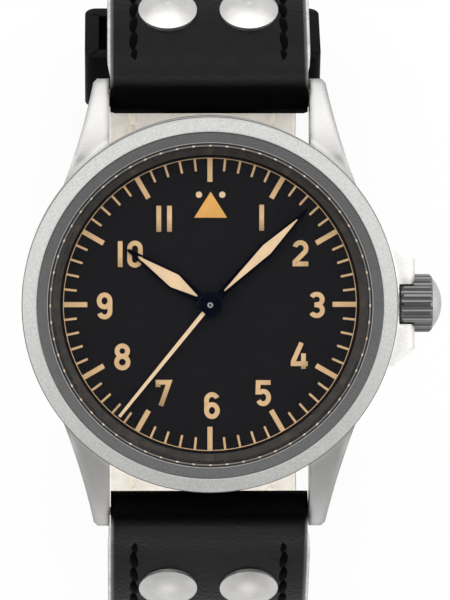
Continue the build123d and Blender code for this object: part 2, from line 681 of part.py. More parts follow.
def barrel():
    """Mainspring barrel with its toothed rim at pitch size and its arbor."""
    z = TRAIN_Z + BARREL_GAP
    body = disc(BARREL_R, BARREL_H, *BARREL_AT, z)
    body = chamfer(body.edges().filter_by(GeomType.CIRCLE).sort_by(Axis.Z)[-1], BARREL_EDGE)
    return body - disc(BARREL_ARBOR_R + RUN, BARREL_H, *BARREL_AT, z)


def ratchet_wheel():
    """Ratchet wheel on the barrel arbor, sunk in the barrel bridge."""
    z = BRIDGE_Z + RUN
    arbor_h = PLATE_Z - z - RUN
    return disc(RATCHET_R, SUNK_WHEEL_T, *BARREL_AT, z) + disc(BARREL_ARBOR_R, arbor_h, *BARREL_AT, z)


def crown_wheel():
    wheel = disc(CROWN_WHEEL_R, SUNK_WHEEL_T, *CROWN_WHEEL_AT, BRIDGE_Z + RUN)
    return wheel + disc(CROWN_WHEEL_HUB_R, SUNK_HUB_T, *CROWN_WHEEL_AT, BRIDGE_Z + RUN)


def click():
    """Pawl beside the ratchet wheel."""
    outline = [(-2.25, -2.25), (2.25, -2.25), (2.0, 7.0), (0.75, 8.5), (-0.75, 8.5), (-2.0, 2.0)]
    pawl = plan([(x * GRID, y * GRID) for x, y in outline], 0, SUNK_WHEEL_T)
    z = BRIDGE_Z + RUN
    return Pos(CLICK_AT[0], CLICK_AT[1], z) * pawl + disc(CLICK_HUB_R, SUNK_HUB_T, *CLICK_AT, z)


def balance_wheel():
    """Balance with a rim, two arms and its staff and roller."""
    z = MID_Z + BALANCE_UP
    body = ring(BALANCE_R, BALANCE_R - BALANCE_RIM, BALANCE_T, *BALANCE_AT, z)
    arm = Box(2 * BALANCE_R - BALANCE_RIM, BALANCE_RIM, BALANCE_ARM_T, align=BOTTOM_ALIGN)
    arms = Pos(BALANCE_AT[0], BALANCE_AT[1], z) * arm
    roller = disc(ROLLER_R, ROLLER_T, *BALANCE_AT, LOW_Z)
    return body + arms + roller + arbor(BALANCE_AT)


def hairspring():
    """Flat spiral over the balance, in half turns of growing radius."""
    z = MID_Z + BALANCE_UP + BALANCE_T + PINION_STEP
    radius, x, side = ROLLER_R, 0.0, 1
    path = []
    for _ in range(2 * SPRING_TURNS):
        start, end = (x + side * radius, 0), (x - side * radius, 0)
        path.append(ThreePointArc(start, (x, side * radius), end))
        x += side * SPRING_PITCH / 4
        radius += SPRING_PITCH / 4
        side = -side
    return Pos(BALANCE_AT[0], BALANCE_AT[1], z) * extrude(trace(path, SPRING_W), SPRING_H)


def main_plate():
    """Main plate with its pivot holes, the slot of the keyless works and six-sided pillars."""
    body = disc(MOVEMENT_R, PLATE_T, z=PLATE_Z)
    body -= disc(MINUTE_PIPE_R + RUN, PLATE_T, z=PLATE_Z)
    for at in (THIRD_AT, FOURTH_AT, ESCAPE_AT, PALLET_AT, BALANCE_AT):
        body -= disc(ARBOR_R + RUN, PLATE_T, *at, PLATE_Z)
    body -= disc(MINUTE_POST_R, PLATE_T, *MINUTE_AT, PLATE_Z)
    for y in (FOOT_Y, -FOOT_Y):
        body -= disc(FOOT_R + RUN, PLATE_T, 0, y, PLATE_Z)
    half, slot_top = PINION_R + SLOT_GAP, CROWN_Z + PINION_R + SLOT_GAP / 2
    body -= block(STEM_IN - STEM_R, MOVEMENT_R, -half, half, PLATE_Z, slot_top)
    bearing = block(STEM_IN - BEARING_W, WINDING_X - POCKET_GAP, -BEARING_W, BEARING_W, CROWN_Z - BEARING_W,
                    PLATE_Z + BEARING_H)
    body += bearing - along_x(STEM_R + RUN, STEM_IN - RUN, MOVEMENT_R)
    for at in PILLARS:
        body += plan([polar(PILLAR_R, corner, at) for corner in range(0, 360, 60)], TRAIN_Z, TRAIN_H)
    return body


def upper_plate():
    """The disc that the bridges are cut from, with the holes they share."""
    body = disc(BRIDGE_R, BRIDGE_T, z=BRIDGE_Z)
    body -= disc(POST_R, BRIDGE_T, z=BRIDGE_Z)
    for at in (THIRD_AT, FOURTH_AT, ESCAPE_AT, PALLET_AT, BALANCE_AT):
        body -= disc(ARBOR_R + RUN, BRIDGE_T, *at, BRIDGE_Z)
    for radius, at in ((RATCHET_R, BARREL_AT), (CROWN_WHEEL_R, CROWN_WHEEL_AT), (CLICK_POCKET_R, CLICK_AT)):
        body -= disc(radius + 2 * RUN, WHEEL_POCKET, *at, BRIDGE_Z)
    return body - along_x(PINION_R + POCKET_GAP, WINDING_X - POCKET_GAP, MOVEMENT_R)


def barrel_bridge():
    """Bridge over the barrel, with the pockets of ratchet wheel, crown wheel and click."""
    body = upper_plate() & block(-BRIDGE_R, BRIDGE_R, BRIDGE_LINE, BRIDGE_R, 0, PLATE_Z)
    body -= disc(BARREL_ARBOR_R + RUN, BRIDGE_T, *BARREL_AT, BRIDGE_Z)
    body -= disc(CROWN_WHEEL_HUB_R + RUN, BRIDGE_T, *CROWN_WHEEL_AT, BRIDGE_Z)
    return body - disc(CLICK_HUB_R + RUN, BRIDGE_T, *CLICK_AT, BRIDGE_Z)


def train_bridge():
    """Bridge over the train, from the centre to the escape wheel."""
    area = block(-BRIDGE_R, BRIDGE_R, -BRIDGE_R, BRIDGE_LINE - BRIDGE_SPLIT, 0, PLATE_Z)
    return (upper_plate() & area) - balance_cock_area(BRIDGE_SPLIT)


def balance_cock_area(grow=0.0):
    """Plan of the balance cock, from its foot at the rim to the staff."""
    length = MOVEMENT_R + COCK_FOOT - math.dist(CENTRE, BALANCE_AT) + COCK_HEAD
    bar = Box(length + grow, COCK_W + 2 * grow, PLATE_Z, align=(Align.MAX, Align.CENTER, Align.MIN))
    angle = math.degrees(math.atan2(BALANCE_AT[1], BALANCE_AT[0]))
    return Rot(0, 0, angle) * Pos(MOVEMENT_R + COCK_FOOT, 0, 0) * bar


def balance_cock():
    return upper_plate() & balance_cock_area()


def movement_ring():
    """Ring that centres the movement in the case and carries the dial's rim."""
    low = BACK_RIM + BACK_COLLAR + RING_GAP
    body = ring(BORE_R - RUN, MOVEMENT_R + RUN, DIAL_Z - low, z=low)
    return body - along_x(TUBE_R + SLOT_GAP, STEM_IN, CASE_R)


def rotor_post():
    """Post on the bridges that the rotor turns on, with its head."""
    post_r = POST_R - RUN
    body = disc(post_r, BRIDGE_Z - ROTOR_Z + BRIDGE_T / 2, z=ROTOR_Z - RUN)
    body += disc(POST_HEAD_R, POST_HEAD_T, z=ROTOR_Z - RUN - POST_HEAD_T)
    return body - disc(SECONDS_R + RUN, BRIDGE_T, z=BRIDGE_Z)


def winding_rotor():
    """Half-round rotor with a heavy rim and a bearing hub."""
    bearing = ring(ROTOR_RIM, POST_R + RUN, ROTOR_T - 2 * RUN, z=ROTOR_Z)
    plate = disc(ROTOR_R, ROTOR_WEB_T, z=ROTOR_Z) + ring(ROTOR_R, ROTOR_R - ROTOR_RIM, ROTOR_T, z=ROTOR_Z)
    half = block(-ROTOR_R, ROTOR_R, -ROTOR_R, 0, 0, BRIDGE_Z)
    return (plate & half) - disc(POST_R + RUN, ROTOR_T, z=ROTOR_Z) + bearing


# Dial, motion works and hands
def dial():
    body = disc(DIAL_R, DIAL_T, z=DIAL_Z) - disc(HOUR_PIPE_R + RUN, DIAL_T, z=DIAL_Z)
    for y in (FOOT_Y, -FOOT_Y):
        body += disc(FOOT_R, DIAL_Z - PLATE_Z - FOOT_GAP, 0, y, PLATE_Z + FOOT_GAP)
    return body


def minute_wheel():
    """Minute wheel and pinion on their post, under the dial."""
    z = MOTION_Z + RUN
    wheel = disc(MINUTE_WHEEL_R, MOTION_WHEEL_T, *MINUTE_AT, z)
    pinion = disc(MINUTE_PINION_R, MINUTE_PINION_H, *MINUTE_AT, z)
    return wheel + pinion + disc(MINUTE_POST_R - RUN, MINUTE_POST_L, *MINUTE_AT, z - MINUTE_POST_L)


def hour_wheel():
    """Hour wheel on its pipe over the cannon pinion."""
    z = MOTION_Z + HOUR_WHEEL_UP
    body = disc(HOUR_WHEEL_R, MOTION_WHEEL_T, z=z) + disc(HOUR_PIPE_R, HOUR_Z + HAND_T - z, z=z)
    return body - disc(CANNON_R + RUN, DIAL_TOP, z=z)


def hand_outline(length, width, widest, tip):
    """Leaf outline along +Y: narrow at the hub, widest part, long tapered tip."""
    half = [(HAND_ROOT, 0.0), (width / 2, widest), (tip, length - tip), (0.0, length)]
    return half + [(-x, y) for x, y in reversed(half[:-1])]


def placed_hand(outline, z, height, degrees):
    """An outline turned clockwise from 12 o'clock."""
    return Rot(0, 0, -degrees) * plan(outline, z, height)


def lume_outline(length, width, widest, start, end):
    """The filled part of a leaf hand, inside its rim."""
    half_w = width / 2 - LUME_RIM
    end_w = half_w * (length - end) / (length - widest) * LUME_END
    start_w = half_w * start / widest * LUME_END
    half = [(start_w, start), (half_w, widest), (end_w, end)]
    return half + [(-x, y) for x, y in reversed(half)]


HOUR_LUME = lume_outline(HOUR_L, HOUR_W, HOUR_WIDEST, HOUR_LUME_IN, HOUR_L - HOUR_LUME_SHORT)
MINUTE_LUME = lume_outline(MINUTE_L, MINUTE_W, MINUTE_WIDEST, MINUTE_LUME_IN, MINUTE_L - MINUTE_LUME_SHORT)


def hour_hand():
    body = placed_hand(hand_outline(HOUR_L, HOUR_W, HOUR_WIDEST, HOUR_TIP), HOUR_Z, HAND_T, HOUR_DEG)
    body += disc(HOUR_HUB_R, HAND_T, z=HOUR_Z)
    body -= placed_hand(HOUR_LUME, HOUR_Z, HAND_T, HOUR_DEG)
    return body - disc(HOUR_PIPE_R, HAND_T, z=HOUR_Z)


def minute_hand():
    outline = hand_outline(MINUTE_L, MINUTE_W, MINUTE_WIDEST, MINUTE_TIP)
    body = placed_hand(outline, MINUTE_Z, HAND_T, MINUTE_DEG) + disc(MINUTE_HUB_R, HAND_T, z=MINUTE_Z)
    body -= placed_hand(MINUTE_LUME, MINUTE_Z, HAND_T, MINUTE_DEG)
    return body - disc(CANNON_R, HAND_T, z=MINUTE_Z)


def seconds_hand():
    half = SECONDS_W / 2
    tip = SECONDS_TAPER * half
    outline = [(half, 0), (tip, SECONDS_L), (-tip, SECONDS_L), (-half, 0)]
    hub = disc(SECONDS_HUB_R, SECONDS_HUB_T, z=SECONDS_Z)
    body = placed_hand(outline, SECONDS_Z, HAND_T, SECONDS_DEG) + hub
    return body - disc(SECONDS_R, SECONDS_HUB_T, z=SECONDS_Z)


# Strap
def walk(start, heading, steps):
    """Centre line of a strap half in the YZ plane, as steps of (length or None, radius, turn).

    Each step gives its start, heading, and length or radius and turn. All turns are to the right.
    """
    y, z = start
    out = []
    for length, radius, turn in steps:
        a = math.radians(heading)
        out.append((y, z, heading, length, radius, turn))
        if radius is None:
            y, z = y + length * math.cos(a), z + length * math.sin(a)
        else:
            cy, cz = y + radius * math.sin(a), z - radius * math.cos(a)
            heading -= turn
            a = math.radians(heading)
            y, z = cy - radius * math.sin(a), cz + radius * math.cos(a)
    out.append((y, z, heading, None, None, None))
    return out


def path_point(path, distance, offset=0.0):
    """Point and heading at a distance along the path, offset to the left (outwards)."""
    for y, z, heading, length, radius, turn in path[:-1]:
        span = length if radius is None else radius * math.radians(turn)
        if distance <= span:
            if radius is None:
                a = math.radians(heading)
                y, z = y + distance * math.cos(a), z + distance * math.sin(a)
            else:
                a = math.radians(heading)
                cy, cz = y + radius * math.sin(a), z - radius * math.cos(a)
                heading -= math.degrees(distance / radius)
                a = math.radians(heading)
                y, z = cy - radius * math.sin(a), cz + radius * math.cos(a)
            a = math.radians(heading)
            return y - offset * math.sin(a), z + offset * math.cos(a), heading
        distance -= span
    return path_point(path, 0.0, offset)


def path_length(path):
    return sum(p[3] if p[4] is None else p[4] * math.radians(p[5]) for p in path[:-1])


def offset_edges(path, offset):
    """Edges of the line that runs beside the path."""
    edges, points = [], []
    for y, z, heading, length, radius, turn in path:
        a = math.radians(heading)
        points.append((0, y - offset * math.sin(a), z + offset * math.cos(a)))
    for i, (y, z, heading, length, radius, turn) in enumerate(path[:-1]):
        if radius is None:
            edges.append(Line(points[i], points[i + 1]))
            continue
        a, mid = math.radians(heading), math.radians(heading - turn / 2)
        cy, cz = y + radius * math.sin(a), z - radius * math.cos(a)
        middle = (0, cy - (radius + offset) * math.sin(mid), cz + (radius + offset) * math.cos(mid))
        edges.append(ThreePointArc(points[i], middle, points[i + 1]))
    return edges, points[0], points[-1]


def layer(path, outer, inner, width):
    """A strip between two lines beside the path, as wide as the strap."""
    left, left_start, left_end = offset_edges(path, outer)
    right, right_start, right_end = offset_edges(path, inner)
    face = make_face([*left, Line(left_end, right_end), *right, Line(right_start, left_start)])
    return Pos(-width / 2, 0, 0) * extrude(face, width, Vector(1, 0, 0))


def mirrored(shape):
    """The other half of the loop, across the XZ plane."""
    return mirror(shape, Plane.XZ)


def strap_end(y, z, radius, bore):
    """Tube of leather wrapped round a bar, with its bore."""
    tube = Pos(0, y, z) * Rot(0, 90, 0) * Cylinder(radius, END_W)
    hole = Pos(0, y, z) * Rot(0, 90, 0) * Cylinder(bore + RUN, 2 * STRAP_W)
    return tube, hole


def shoulders():
    """What is cut from a half so that its end fits between the lugs."""
    side = Rot(0, 90, 0) * Cylinder(END_L, CASE_R, align=BOTTOM_ALIGN)
    right = Pos(END_W / 2, BAR_Y, BAR_Z) * side
    return right + mirror(right, Plane.YZ)


def at_path(path, distance, x=0.0):
    """A placement on the path whose Z looks outwards."""
    y, z, heading = path_point(path, distance)
    a = math.radians(heading)
    return Plane(origin=(x, y, z), x_dir=(1, 0, 0), z_dir=(0, -math.sin(a), math.cos(a))).location


CORNER_SIN = math.sin(math.radians(CORNER_TURN))
SIDE_OUT = SIDE_R * (math.sin(math.radians(START_DEG)) + CORNER_SIN)
CORNER_R = (BAR_Y + SIDE_OUT - PIN_Y - SHORT_FLAT) / CORNER_SIN
SHORT_PATH = walk((BAR_Y, BAR_Z), START_DEG, [
    (None, SIDE_R, SIDE_TURN), (None, CORNER_R, CORNER_TURN), (SHORT_FLAT, None, None)])
FLAT_Y, FLAT_Z = SHORT_PATH[2][0], SHORT_PATH[2][1]
LONG_CORNER_R = CORNER_R + LAP / (1 - math.cos(math.radians(CORNER_TURN)))
LONG_START = walk((BAR_Y, BAR_Z), START_DEG, [
    (None, SIDE_R, SIDE_TURN), (None, LONG_CORNER_R, CORNER_TURN)])
LONG_FLAT = FLAT_Y + LONG_START[2][0]
LONG_PATH = walk((BAR_Y, BAR_Z), START_DEG, [
    (None, SIDE_R, SIDE_TURN), (None, LONG_CORNER_R, CORNER_TURN), (LONG_FLAT, None, None),
    (None, CORNER_R + LAP, CORNER_TURN), (None, SIDE_R + LAP, TAIL_TURN), (TAIL_L, None, None)])
LONG_Z = FLAT_Z - LAP
BASE_Z = LONG_Z - OUTER - SOFT_GAP - KEEPER_WALL
CROSSBAR_Z = BASE_Z + CROSSBAR_R


def tongue_hole_distance():
    """Path distance of the hole that the tongue goes through."""
    centre_y = LONG_START[2][0]
    back = math.asin((-TONGUE_HOLE_Y - centre_y) / LONG_CORNER_R)
    return SIDE_R * math.radians(SIDE_TURN) + LONG_CORNER_R * (math.radians(CORNER_TURN) - back)


def rivet_holes(path, radius):
    holes = Part()
    for x in (RIVET_X, -RIVET_X):
        holes += at_path(path, RIVET_PATH, x) * Cylinder(radius, 4 * STRAP_T)
    return holes


def rivet_seats(path):
    """Flat seats that the rivet heads press into the curved leather."""
    sink = RIVET_R ** 2 / (2 * SIDE_R)
    seats = Part()
    for x in (RIVET_X, -RIVET_X):
        seats += at_path(path, RIVET_PATH, x) * Pos(0, 0, OUTER - sink) * disc(RIVET_R + RUN, STRAP_T)
    return seats


def washer_seats(path):
    """Flat seats of the washers on the hollow side of the strap."""
    seats = Part()
    for x in (RIVET_X, -RIVET_X):
        seats += at_path(path, RIVET_PATH, x) * disc(WASHER_R + RUN, STRAP_T, z=-OUTER - STRAP_T)
    return seats


def rivets(path):
    """Two domed rivets with their shanks and inside washers."""
    sink = RIVET_R ** 2 / (2 * SIDE_R)
    sphere_r = dome_radius(RIVET_R, RIVET_H - RIVET_RIM)
    head = disc(RIVET_R, RIVET_RIM + sink, z=OUTER - sink)
    ball = Pos(0, 0, OUTER + RIVET_H - sphere_r) * Sphere(sphere_r)
    head += ball & disc(RIVET_R, RIVET_H, z=OUTER + RIVET_RIM)
    shank = disc(RIVET_SHANK_R, STRAP_T, z=-OUTER)
    washer = disc(WASHER_R, WASHER_T, z=-OUTER - WASHER_T)
    one = head + shank + washer
    return Part() + [at_path(path, RIVET_PATH, x) * one for x in (RIVET_X, -RIVET_X)]


def strap_12_leather():
    """Outer leather of the short half, from the lug bar to the buckle bar."""
    body = layer(SHORT_PATH, OUTER, SEAM, LEATHER_W)
    tube, hole = strap_end(BAR_Y, BAR_Z, END_R, BAR_R)
    pin_tube, pin_hole = strap_end(PIN_Y, FLAT_Z, PIN_END_R, PIN_R)
    slot_half = TONGUE_W / 2 + SOFT_GAP
    slot = block(-slot_half, slot_half, PIN_Y - 2 * PIN_END_R, PIN_Y + PIN_END_R + SOFT_GAP,
                 FLAT_Z - STRAP_T, FLAT_Z + STRAP_T)
    body = body + tube + pin_tube - hole - pin_hole - slot - shoulders()
    return body - rivet_holes(SHORT_PATH, RIVET_SHANK_R + RUN) - rivet_seats(SHORT_PATH)


def strap_12_lining():
    """Beige lining of the short half, between the two bars."""
    body = layer(SHORT_PATH, SEAM, -OUTER, LEATHER_W - 2 * LINING_INSET)
    body -= Pos(0, BAR_Y, BAR_Z) * Rot(0, 90, 0) * Cylinder(END_L, 2 * STRAP_W)
    low, high = FLAT_Z - STRAP_T, FLAT_Z + STRAP_T
    body -= block(-STRAP_W, STRAP_W, PIN_Y - STRAP_T, PIN_Y + LINING_BACK, low, high)
    return body - rivet_holes(SHORT_PATH, RIVET_SHANK_R + RUN) - washer_seats(SHORT_PATH)


def tail_corners(body):
    """The slanted corners of the long half's tail."""
    y, z, heading, *_ = LONG_PATH[-1]
    square = [e for e in body.edges() if abs(e.tangent_at(0).X) < 0.5 and e.length < STRAP_T]
    ends = [e for e in square if math.dist((e.center().Y, e.center().Z), (y, z)) < STRAP_T]
    return chamfer(ends, TAIL_CHAMFER)


def strap_holes():
    """The row of adjustment holes, spaced along the strap from the one in use."""
    first = tongue_hole_distance() - (HOLES // 2) * HOLE_PITCH
    holes = Part()
    for i in range(HOLES):
        holes += at_path(LONG_PATH, first + i * HOLE_PITCH) * Cylinder(HOLE_R, 2 * STRAP_T)
    return holes


def strap_6_leather():
    """Outer leather of the long half, built on the 12 o'clock side and mirrored."""
    body = tail_corners(layer(LONG_PATH, OUTER, SEAM, LEATHER_W))
    tube, hole = strap_end(BAR_Y, BAR_Z, END_R, BAR_R)
    body = body + tube - hole - shoulders() - strap_holes()
    body -= rivet_holes(LONG_PATH, RIVET_SHANK_R + RUN)
    return mirrored(body - rivet_seats(LONG_PATH))


def strap_6_lining():
    body = tail_corners(layer(LONG_PATH, SEAM, -OUTER, LEATHER_W - 2 * LINING_INSET))
    body -= Pos(0, BAR_Y, BAR_Z) * Rot(0, 90, 0) * Cylinder(END_L, 2 * STRAP_W)
    body = body - strap_holes() - rivet_holes(LONG_PATH, RIVET_SHANK_R + RUN)
    return mirrored(body - washer_seats(LONG_PATH))


# Keepers and buckle
def keeper_tube(length, low, high):
    """A leather loop round both halves, its run along local X."""
    half = LEATHER_W / 2 + ARM_GAP
    wall = KEEPER_WALL
    outer = block(-half - wall, half + wall, -length / 2, length / 2, low - wall, high + wall)
    outer = fillet(outer.edges().filter_by(Axis.Y), KEEPER_EDGE)
    return outer - block(-half, half, -length, length, low, high)


def fixed_keeper():
    low, high = BASE_Z + KEEPER_WALL, FLAT_Z + OUTER + RUN
    return Pos(0, KEEPER_Y, 0) * keeper_tube(KEEPER_L, low, high)


def free_keeper():
    """Sliding keeper on the corner of the loop, square to the strap there."""
    distance = SIDE_R * math.radians(SIDE_TURN - (FREE_KEEPER_DEG - CORNER_TURN))
    sagitta = FREE_KEEPER_L ** 2 / (8 * SIDE_R)
    low, high = -OUTER - SOFT_GAP, OUTER + LAP + SOFT_GAP + sagitta
    return at_path(SHORT_PATH, distance) * keeper_tube(FREE_KEEPER_L, low, high)


def bent_bar(points, thickness, width):
    """A strip bent along points of the YZ plane, with round bends and ends."""
    body = Part()
    for y, z in points:
        body += Pos(0, y, z) * Rot(0, 90, 0) * Cylinder(thickness / 2, width)
    for (y0, z0), (y1, z1) in zip(points, points[1:]):
        angle = math.degrees(math.atan2(z1 - z0, y1 - y0))
        place = Pos(0, (y0 + y1) / 2, (z0 + z1) / 2) * Rot(angle, 0, 0)
        body += place * Box(width, math.dist((y0, z0), (y1, z1)), thickness)
    return body


def buckle_bar():
    length = LEATHER_W + 2 * ARM_GAP + 2 * ARM_W
    return Pos(0, PIN_Y, FLAT_Z) * Rot(0, 90, 0) * Cylinder(PIN_R, length - 2 * PIN_SHORT)


def buckle_frame():
    """Steel frame: two arms on the bar and a crossbar with a seat for the tongue."""
    half = LEATHER_W / 2 + ARM_GAP
    arm = bent_bar([(PIN_Y, FLAT_Z), (CROSSBAR_Y, CROSSBAR_Z)], 2 * CROSSBAR_R, ARM_W)
    arm += Pos(0, PIN_Y, FLAT_Z) * Rot(0, 90, 0) * Cylinder(ARM_EYE_R, ARM_W)
    body = Pos(0, CROSSBAR_Y, CROSSBAR_Z) * Rot(0, 90, 0) * Cylinder(CROSSBAR_R, 2 * (half + ARM_W))
    for x in (half + ARM_W / 2, -half - ARM_W / 2):
        body += Pos(x, 0, 0) * arm
    body -= Pos(0, PIN_Y, FLAT_Z) * Rot(0, 90, 0) * Cylinder(PIN_R + RUN, 2 * CASE_R)
    seat = TONGUE_W / 2 + SEAT_GAP
    seat_top = CROSSBAR_Z - TONGUE_DROP + TONGUE_T / 2 + RUN
    near, far = CROSSBAR_Y - 2 * CROSSBAR_R, CROSSBAR_Y + 2 * CROSSBAR_R
    return body - block(-seat, seat, near, far, BASE_Z - CROSSBAR_R, seat_top)


def buckle_tongue():
    """Tongue bent from its hub through the hole to the seat of the crossbar."""
    run_z = CROSSBAR_Z - TONGUE_DROP
    points = [(PIN_Y, FLAT_Z), (TONGUE_HOLE_Y, FLAT_Z - TONGUE_DIP), (TONGUE_HOLE_Y, run_z),
              (CROSSBAR_Y - TONGUE_OVER, run_z)]
    body = bent_bar(points, TONGUE_T, TONGUE_W)
    body += Pos(0, PIN_Y, FLAT_Z) * Rot(0, 90, 0) * Cylinder(PIN_R + TONGUE_HUB_T, TONGUE_W)
    return body - Pos(0, PIN_Y, FLAT_Z) * Rot(0, 90, 0) * Cylinder(PIN_R + RUN, TONGUE_W)


PARTS = {
    "case_middle": case_middle, "case_back": case_back, "case_back_gasket": case_back_gasket,
    "bezel": bezel, "crystal": crystal, "crystal_gasket": crystal_gasket, "rehaut": rehaut,
    "spring_bar_12": lambda: spring_bar(BAR_Y), "spring_bar_6": lambda: spring_bar(-BAR_Y),
    "crown": crown, "crown_tube": crown_tube, "crown_gasket": crown_gasket,
    "winding_stem": winding_stem,
    "winding_pinion": lambda: stem_pinion(WINDING_X, WINDING_L),
    "sliding_pinion": lambda: stem_pinion(SLIDING_X, SLIDING_L),
    "main_plate": main_plate, "barrel_bridge": barrel_bridge, "train_bridge": train_bridge,
    "balance_cock": balance_cock, "movement_ring": movement_ring,
    "barrel": barrel, "ratchet_wheel": ratchet_wheel, "crown_wheel": crown_wheel, "click": click,
    "centre_wheel": centre_wheel, "cannon_pinion": cannon_pinion, "third_wheel": third_wheel,
    "fourth_wheel": fourth_wheel, "seconds_pinion": seconds_pinion, "escape_wheel": escape_wheel,
    "pallet_fork": pallet_fork, "balance_wheel": balance_wheel, "hairspring": hairspring,
    "rotor_post": rotor_post, "winding_rotor": winding_rotor,
    "dial": dial, "minute_wheel": minute_wheel, "hour_wheel": hour_wheel,
    "hour_hand": hour_hand, "minute_hand": minute_hand, "seconds_hand": seconds_hand,
    "hour_hand_lume": lambda: placed_hand(HOUR_LUME, HOUR_Z, HAND_T + LUME_PROUD, HOUR_DEG),
    "minute_hand_lume": lambda: placed_hand(MINUTE_LUME, MINUTE_Z, HAND_T + LUME_PROUD, MINUTE_DEG),
    "strap_12_leather": strap_12_leather, "strap_12_lining": strap_12_lining,
    "rivets_12": lambda: rivets(SHORT_PATH),
    "strap_6_leather": strap_6_leather, "strap_6_lining": strap_6_lining,
    "rivets_6": lambda: mirrored(rivets(LONG_PATH)),
    "fixed_keeper": fixed_keeper, "free_keeper": free_keeper,
    "buckle_bar": buckle_bar, "buckle_frame": buckle_frame, "buckle_tongue": buckle_tongue,
}


def main():
    os.makedirs("parts", exist_ok=True)
    for name, build in PARTS.items():
        write(name, build())
    print(f"flat {FLAT_Z:.4f}, base {BASE_Z:.4f}, corner {CORNER_R:.4f}, long flat {LONG_FLAT:.4f}, "
          f"paths {path_length(SHORT_PATH):.3f} and {path_length(LONG_PATH):.3f}")


main()
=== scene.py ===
"""Looks of a pilot watch on a riveted leather strap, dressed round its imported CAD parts.

The frame is the case: +X to the crown, +Y to 12 o'clock, +Z out of the dial, in metres.
Sizes below are in millimetres and are turned to metres where a mesh is made.
"""

import logging
import math
from dataclasses import dataclass
from enum import Enum
from functools import lru_cache
from typing import Any, Callable, Iterable, Optional, Sequence

import bmesh
import bpy
from mathutils import Matrix, Vector, noise


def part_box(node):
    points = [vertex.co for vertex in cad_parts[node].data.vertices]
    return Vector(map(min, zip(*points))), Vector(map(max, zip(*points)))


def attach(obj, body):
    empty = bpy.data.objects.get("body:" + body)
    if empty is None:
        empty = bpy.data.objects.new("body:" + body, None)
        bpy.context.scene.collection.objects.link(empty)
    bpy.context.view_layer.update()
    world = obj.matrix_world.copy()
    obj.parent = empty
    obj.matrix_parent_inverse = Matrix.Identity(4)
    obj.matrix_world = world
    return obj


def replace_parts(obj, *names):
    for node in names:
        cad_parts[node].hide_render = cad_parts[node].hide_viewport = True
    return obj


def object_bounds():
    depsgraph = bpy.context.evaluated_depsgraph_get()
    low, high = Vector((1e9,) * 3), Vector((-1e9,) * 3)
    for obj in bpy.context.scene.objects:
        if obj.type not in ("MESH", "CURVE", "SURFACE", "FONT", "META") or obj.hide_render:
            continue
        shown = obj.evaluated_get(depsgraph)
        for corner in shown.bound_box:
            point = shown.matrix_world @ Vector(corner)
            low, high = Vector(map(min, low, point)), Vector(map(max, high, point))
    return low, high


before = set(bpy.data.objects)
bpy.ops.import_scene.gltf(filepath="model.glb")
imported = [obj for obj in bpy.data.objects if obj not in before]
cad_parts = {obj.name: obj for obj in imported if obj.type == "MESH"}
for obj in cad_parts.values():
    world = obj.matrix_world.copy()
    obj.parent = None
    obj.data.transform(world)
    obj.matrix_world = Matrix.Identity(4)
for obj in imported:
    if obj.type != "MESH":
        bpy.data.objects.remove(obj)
CAD_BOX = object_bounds()

LOG = logging.getLogger("pilot_watch")
MM = 0.001
FULL_TURN = 2 * math.pi

Point = tuple[float, float]


def linear(colour: str) -> tuple[float, float, float, float]:
    """Turns an sRGB hex colour to linear light.

    Args:
        colour: the colour as #RRGGBB.

    Returns:
        Red, green, blue and alpha as a shader socket takes them.
    """
    parts = [int(colour[i:i + 2], 16) / 255 for i in (1, 3, 5)]
    red, green, blue = (c / 12.92 if c <= 0.04045 else ((c + 0.055) / 1.055) ** 2.4 for c in parts)
    return red, green, blue, 1.0


def add_node(tree: bpy.types.NodeTree, kind: str, inputs: Optional[dict[Any, Any]] = None,
             **settings: Any) -> bpy.types.Node:
    """Adds a node with its settings, values and links.

    Args:
        tree: the node tree that gets the node.
        kind: the node's type name.
        inputs: a value, or another node's output, for each input by name or number.
        settings: the node's own properties.

    Returns:
        The new node.
    """
    node = tree.nodes.new(kind)
    for name, value in settings.items():
        setattr(node, name, value)
    for socket, value in (inputs or {}).items():
        if isinstance(value, bpy.types.NodeSocket):
            tree.links.new(value, node.inputs[socket])
        else:
            node.inputs[socket].default_value = value
    return node


class Relief(Enum):
    """How a surface's fine relief was made."""

    BLASTED = "blasted"
    BRUSHED = "brushed"
    HIDE = "hide"
    NAPPED = "napped"


@dataclass(frozen=True)
class Grain:
    """Fine relief of a surface, with the real size and depth of its marks in millimetres."""

    relief: Relief
    size: float
    depth: float


class Measure(Enum):
    """What tells the zones of one piece apart."""

    RADIUS = "distance from the dial's axis"
    EAST = "distance towards the crown"
    ACROSS = "distance from the strap's middle"
    FOLD = "distance towards 12 or 6, less the height"


@dataclass(frozen=True)
class Zone:
    """A stretch of a piece, in millimetres of its measure, that was finished differently or that has painted
    light or shade.

    The new finish sets in over the soft distance on both sides of its start and of its end.
    """

    measure: Measure
    start: float
    end: float
    colour: str
    roughness: float
    soft: float = 0.02
    gloss: float = 0.5


@dataclass(frozen=True)
class Finish:
    """A material as a maker would name it: its stuff, how its surface was made, and its colour."""

    name: str
    colour: str
    roughness: float
    metallic: float = 0.0
    grain: Optional[Grain] = None
    mottle: float = 0.0
    rough_spread: float = 0.0
    zones: tuple[Zone, ...] = ()
    fleck: float = 0.0
    alpha: float = 1.0
    sheen: float = 0.0
    gloss: float = 0.5
    worn_edge: float = 0.0


# Grit dimples, brush lines and paint dust are a few hundredths of a millimetre in life, too fine to
# show. They are drawn 0.06 to 0.25 mm wide. Hide, nap and thread have their real sizes.
CASE_GRIT = Grain(Relief.BLASTED, 0.20, 0.014)
FINE_GRIT = Grain(Relief.BLASTED, 0.20, 0.012)
HAIR_LINES = Grain(Relief.BRUSHED, 0.10, 0.0008)
SCRATCHED_GLASS = Grain(Relief.BRUSHED, 0.20, 0.004)
TWIST = Grain(Relief.BRUSHED, 0.12, 0.02)
